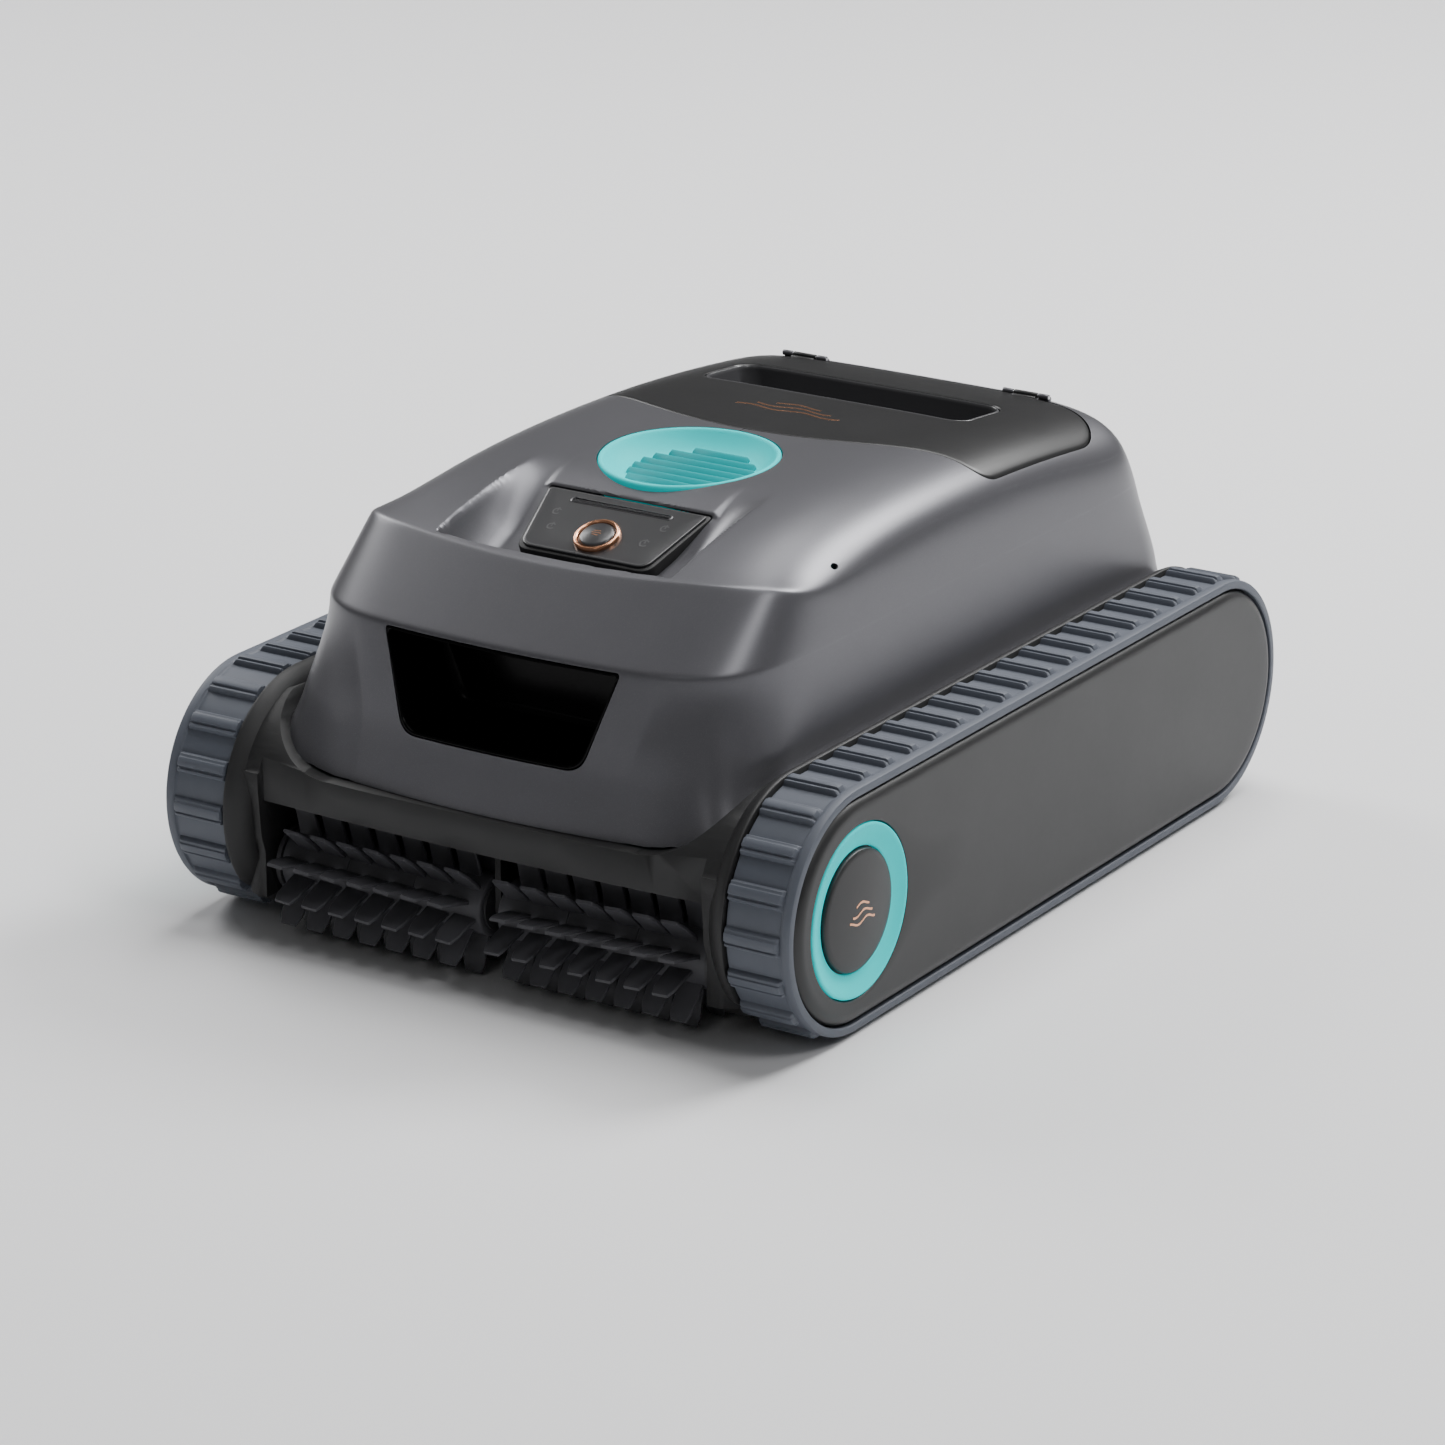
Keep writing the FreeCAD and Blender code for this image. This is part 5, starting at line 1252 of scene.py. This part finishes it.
def makeHubRing(side, name):
    builder = Builder()
    r0, r1 = cover["ringInner"], cover["ringOuter"]
    x1 = cover["x1"]
    profile = [
        (r0 + 0.2, x1 - 4.6), (r1, x1 - 4.6), (r1, x1 - 0.4),
        (r1 - 0.25, x1 + 0.15), (r1 - 0.8, x1 + 0.4), (r1 - 1.6, x1 + 0.3)]
    for t in np.linspace(0.1, 1.0, 10):
        profile.append((r1 - 1.6 - (r1 - r0 - 2.6) * t, x1 + 0.3 - 2.6 * math.sin(t * math.pi / 2)))
    profile.append((r0 + 0.4, x1 - 2.6))
    profile.append((r0 + 0.2, x1 - 3.2))
    profile = [(r, side * x) for r, x in profile]
    lathe(builder, profile, 120, hubOrigin, "x", True)
    return builder.piece(name, 40.0)


def makeHubCap(side, name):
    builder = Builder()
    r0 = cover["ringInner"] - 0.5
    x1 = cover["x1"]
    profile = [(r0 - 3, x1 - 4.5), (r0, x1 - 4.5), (r0, x1 - 2.0), (r0 - 0.25, x1 - 1.2), (r0 - 0.9, x1 - 0.7)]
    for t in np.linspace(0.08, 1.0, 14):
        profile.append((max(0.02, (r0 - 0.9) * (1 - t)), x1 - 0.7 + 2.15 * (1 - (1 - t) ** 2)))
    profile = [(r, side * x) for r, x in profile]
    lathe(builder, profile, 96, hubOrigin, "x")
    return builder.piece(name, 40.0)


def makeHubWaves(side, name):
    builder = Builder()
    x1 = cover["x1"]
    r0 = cover["ringInner"] - 1.4
    for k, (half, v) in enumerate(((11.0, -4.0), (8.5, 0.0), (5.5, 4.0))):
        t = np.linspace(-half, half, 50)
        w = v + 1.1 * np.sin(t * 0.42 + k)
        q = np.sqrt(t * t + w * w) / r0
        x = x1 - 0.7 + 2.15 * (1 - q * q)
        line = np.stack([side * x, -track["wheelY"] + t, track["z"] + w], 1)
        addRibbon(builder, line, np.array([0, 0, 1.0]), np.array([side * 1.0, 0, 0]), 1.1, 0.1)
    return builder.piece(name)


for side, word in ((1, "right"), (-1, "left")):
    install(makeCover(side, word + "CoverPlate"), "chassis", "cover_black", "coverBlack", word + "_side_cover")
    install(makeHubRing(side, word + "HubDish"), "chassis", "turquoise", "turquoise", word + "_hub_ring")
    install(makeHubCap(side, word + "HubDome"), "chassis", "cover_black", "coverBlack", word + "_hub_cap")
    install(makeHubWaves(side, word + "HubWaves"), "chassis", "copper", "copper")
print("stage: covers made")


coreLow, coreHigh = boxMm("right_brush_core")
brush = {
    "y": (coreLow[1] + coreHigh[1]) / 2, "z": (coreLow[2] + coreHigh[2]) / 2, "x0": 5.0, "x1": 122.0,
    "tube": 15.5, "reach": 34.4, "rows": 12, "perRow": 7, "width": 12.2, "thick": 2.2, "tipThick": 1.5,
    "turn": 13.0, "slant": 3.0, "hook": 2.2,
}


def bladeShape():
    section = []
    stations = np.linspace(0, 1, 9)
    for t in stations:
        r = brush["tube"] - 1.5 + (brush["reach"] - brush["tube"] + 1.5) * t
        width = brush["width"] * (1.06 - 0.10 * t)
        if t > 0.86:
            width *= 0.90 - 0.10 * (t - 0.86) / 0.14
        thick = brush["thick"] * (1.2 if t < 0.05 else 1.0) * (1 - t) + brush["tipThick"] * t
        bend = brush["hook"] * t * t
        half = width / 2
        h = thick / 2
        e = min(0.35, h * 0.6)
        loop = [
            (-half + e, -h), (half - e, -h), (half, -h + e), (half, h - e),
            (half - e, h), (-half + e, h), (-half, h - e), (-half, -h + e)]
        section.append([[u, v - bend, r] for u, v in loop])
    section = np.array(section)
    section[-1, :, 0] *= 0.93
    return section


def makeBrush(side, name):
    builder = Builder()
    origin = np.array([0.0, brush["y"], brush["z"]])
    start, end = brush["x0"], brush["x1"]
    profile = [(12.2, start), (14.6, start), (15.3, start + 0.5), (15.5, start + 1.2)]
    for seam in (start + 39.0, start + 78.0):
        profile += [(15.5, seam - 0.5), (15.1, seam - 0.2), (15.1, seam + 0.2), (15.5, seam + 0.5)]
    profile += [(15.5, end - 1.2), (15.3, end - 0.5), (14.6, end - 0.05), (12.2, end - 0.05)]
    lathe(builder, [(r, side * x) for r, x in profile], 56, origin, "x", True)
    blade = bladeShape()
    pitch = (end - start - 3.0) / (brush["perRow"] + 0.25)
    slant = math.radians(brush["slant"])
    for row in range(brush["rows"]):
        angle = math.radians(360.0 * row / brush["rows"] + brush["turn"])
        first = start + 1.0 + pitch * (0.5 if row % 2 else 0.75)
        for i in range(brush["perRow"]):
            x = first + pitch * i
            u = blade[:, :, 0] * math.cos(slant) - blade[:, :, 1] * math.sin(slant)
            v = blade[:, :, 0] * math.sin(slant) + blade[:, :, 1] * math.cos(slant)
            w = blade[:, :, 2]
            y = v * math.cos(angle) - w * math.sin(angle)
            z = v * math.sin(angle) + w * math.cos(angle)
            ring = np.stack([side * (x + u), y + brush["y"], z + brush["z"]], 2)
            builder.rings(ring, capStart=True, capEnd=True)
    return builder.piece(name, 42.0)


for side, word in ((1, "right"), (-1, "left")):
    roller = makeBrush(side, word + "BrushRubber")
    install(roller, word + "_brush", "brush_rubber", "brushRubber", word + "_brush_sleeve")
print("stage: brushes made")


# the tub keeps its designed shape, with softened edges
chassis = bevelledCopy("chassisTub", "lower_chassis", 0.9, 3, 30.0)
install(chassis, "chassis", "chassis_black", "chassisBlack", "lower_chassis")
print("stage: chassis made")


def makeFenderLip(side, name):
    spine = stadiumLoop(0.001)
    outward = stadiumLoop(1.001) - spine
    downward = np.clip(-outward[:, 1], 0, 1)
    reach = 61.0 - 8.0 * smoothStep((downward - 0.55) / 0.4)
    rings = []
    profile = [
        (142.5, 12.0), (142.5, 0.7), (142.2, 0.2), (141.6, 0.0), (140.6, 0.1),
        (138.0, 1.3), (135.0, 3.6), (131.0, 7.6), (131.0, 12.0)]
    for x, drop in profile:
        loop = spine + outward * (reach - drop)[:, None]
        rings.append(np.column_stack([np.full(len(loop), side * x), loop[:, 0], loop[:, 1] + track["z"]]))
    builder = Builder()
    builder.rings(rings, wrapRows=True)
    return builder.piece(name, 50.0)


for side, word in ((1, "right"), (-1, "left")):
    install(makeFenderLip(side, word + "FenderLip"), "chassis", "chassis_black", "chassisBlack")

# pieces kept as they came take the finish of their slot
slotFinish = {
    "shell_grey": "shellGrey", "chassis_black": "chassisBlack", "cover_black": "coverBlack",
    "piano_black": "pianoBlack", "turquoise": "turquoise", "copper": "copper", "tread_rubber": "treadRubber",
    "brush_rubber": "brushRubber", "seal_rubber": "sealRubber", "wheel_plastic": "wheelPlastic", "steel": "steel",
    "motor_can": "motorCan", "gear_white": "gearWhite", "cell_wrap": "cellWrap", "board_green": "boardGreen",
    "mesh_fabric": "meshFabric", "basket_grey": "basketGrey", "light_lens": "lightLens",
    "bush_plastic": "bushPlastic"}
for entry in frame["record"]["subparts"]:
    node = frame["nodes"][entry["node"]]
    finish = materials[slotFinish[entry["material_slot"]]]
    if not node.data.materials:
        node.data.materials.append(finish)
    for i in range(len(node.data.materials)):
        node.data.materials[i] = finish
print("stage: carried-over pieces finished")


studio = {
    "floorSize": 16.0, "floorColour": (0.80, 0.80, 0.81), "worldStrength": 0.13,
    "lights": [
        {"name": "topLight", "at": (0.1, 1.0, 3.0), "size": 2.2, "power": 105.0},
        {"name": "rearRight", "at": (1.2, 2.6, 2.6), "size": 1.2, "power": 120.0},
        {"name": "leftKey", "at": (-2.6, 0.7, 2.0), "size": 1.2, "power": 45.0},
        {"name": "rightKey", "at": (2.2, -0.6, 2.6), "size": 0.8, "power": 22.0},
        {"name": "frontFill", "at": (0.6, -3.4, 2.6), "size": 1.0, "power": 5.0},
    ],
}
camera = {
    "azimuth": 32.72, "elevation": 19.52, "at": (1.383, -2.1686, 0.9783), "lens": 135.5294117647,
}


def makeFloor():
    half = studio["floorSize"] / 2
    mesh = bpy.data.meshes.new("floor")
    mesh.from_pydata(rectangle(-half, -half, half, half, -0.0004), [], [(0, 1, 2, 3)])
    floor = bpy.data.objects.new("floor", mesh)
    bpy.context.scene.collection.objects.link(floor)
    material = bpy.data.materials.new("floorPale")
    material.use_nodes = True
    shader = material.node_tree.nodes["Principled BSDF"]
    shader.inputs["Base Color"].default_value = (*studio["floorColour"], 1.0)
    shader.inputs["Roughness"].default_value = 0.9
    mesh.materials.append(material)


def makeLights():
    world = bpy.data.worlds.new("studioWorld")
    world.use_nodes = True
    background = world.node_tree.nodes["Background"]
    background.inputs["Color"].default_value = (1.0, 1.0, 1.0, 1.0)
    background.inputs["Strength"].default_value = studio["worldStrength"]
    bpy.context.scene.world = world
    for light in studio["lights"]:
        data = bpy.data.lights.new(light["name"], "AREA")
        data.shape = "SQUARE"
        data.size = light["size"]
        data.energy = light["power"]
        lamp = bpy.data.objects.new(light["name"], data)
        lamp.location = light["at"]
        aim = Vector((0, 0, 0.1)) - Vector(light["at"])
        lamp.rotation_mode = "QUATERNION"
        lamp.rotation_quaternion = aim.to_track_quat("-Z", "Y")
        bpy.context.scene.collection.objects.link(lamp)


def makeCamera():
    data = bpy.data.cameras.new("studioCamera")
    data.lens = camera["lens"]
    data.sensor_width = 36.0
    data.clip_start = 0.1
    data.clip_end = 50.0
    eye = bpy.data.objects.new("studioCamera", data)
    a = math.radians(camera["azimuth"])
    e = math.radians(camera["elevation"])
    back = Vector((math.sin(a) * math.cos(e), -math.cos(a) * math.cos(e), math.sin(e)))
    eye.rotation_mode = "QUATERNION"
    eye.rotation_quaternion = (-back).to_track_quat("-Z", "Y")
    eye.location = camera["at"]
    bpy.context.scene.collection.objects.link(eye)
    bpy.context.scene.camera = eye


makeFloor()
makeLights()
makeCamera()
print("stage: studio made")

bpy.context.view_layer.update()
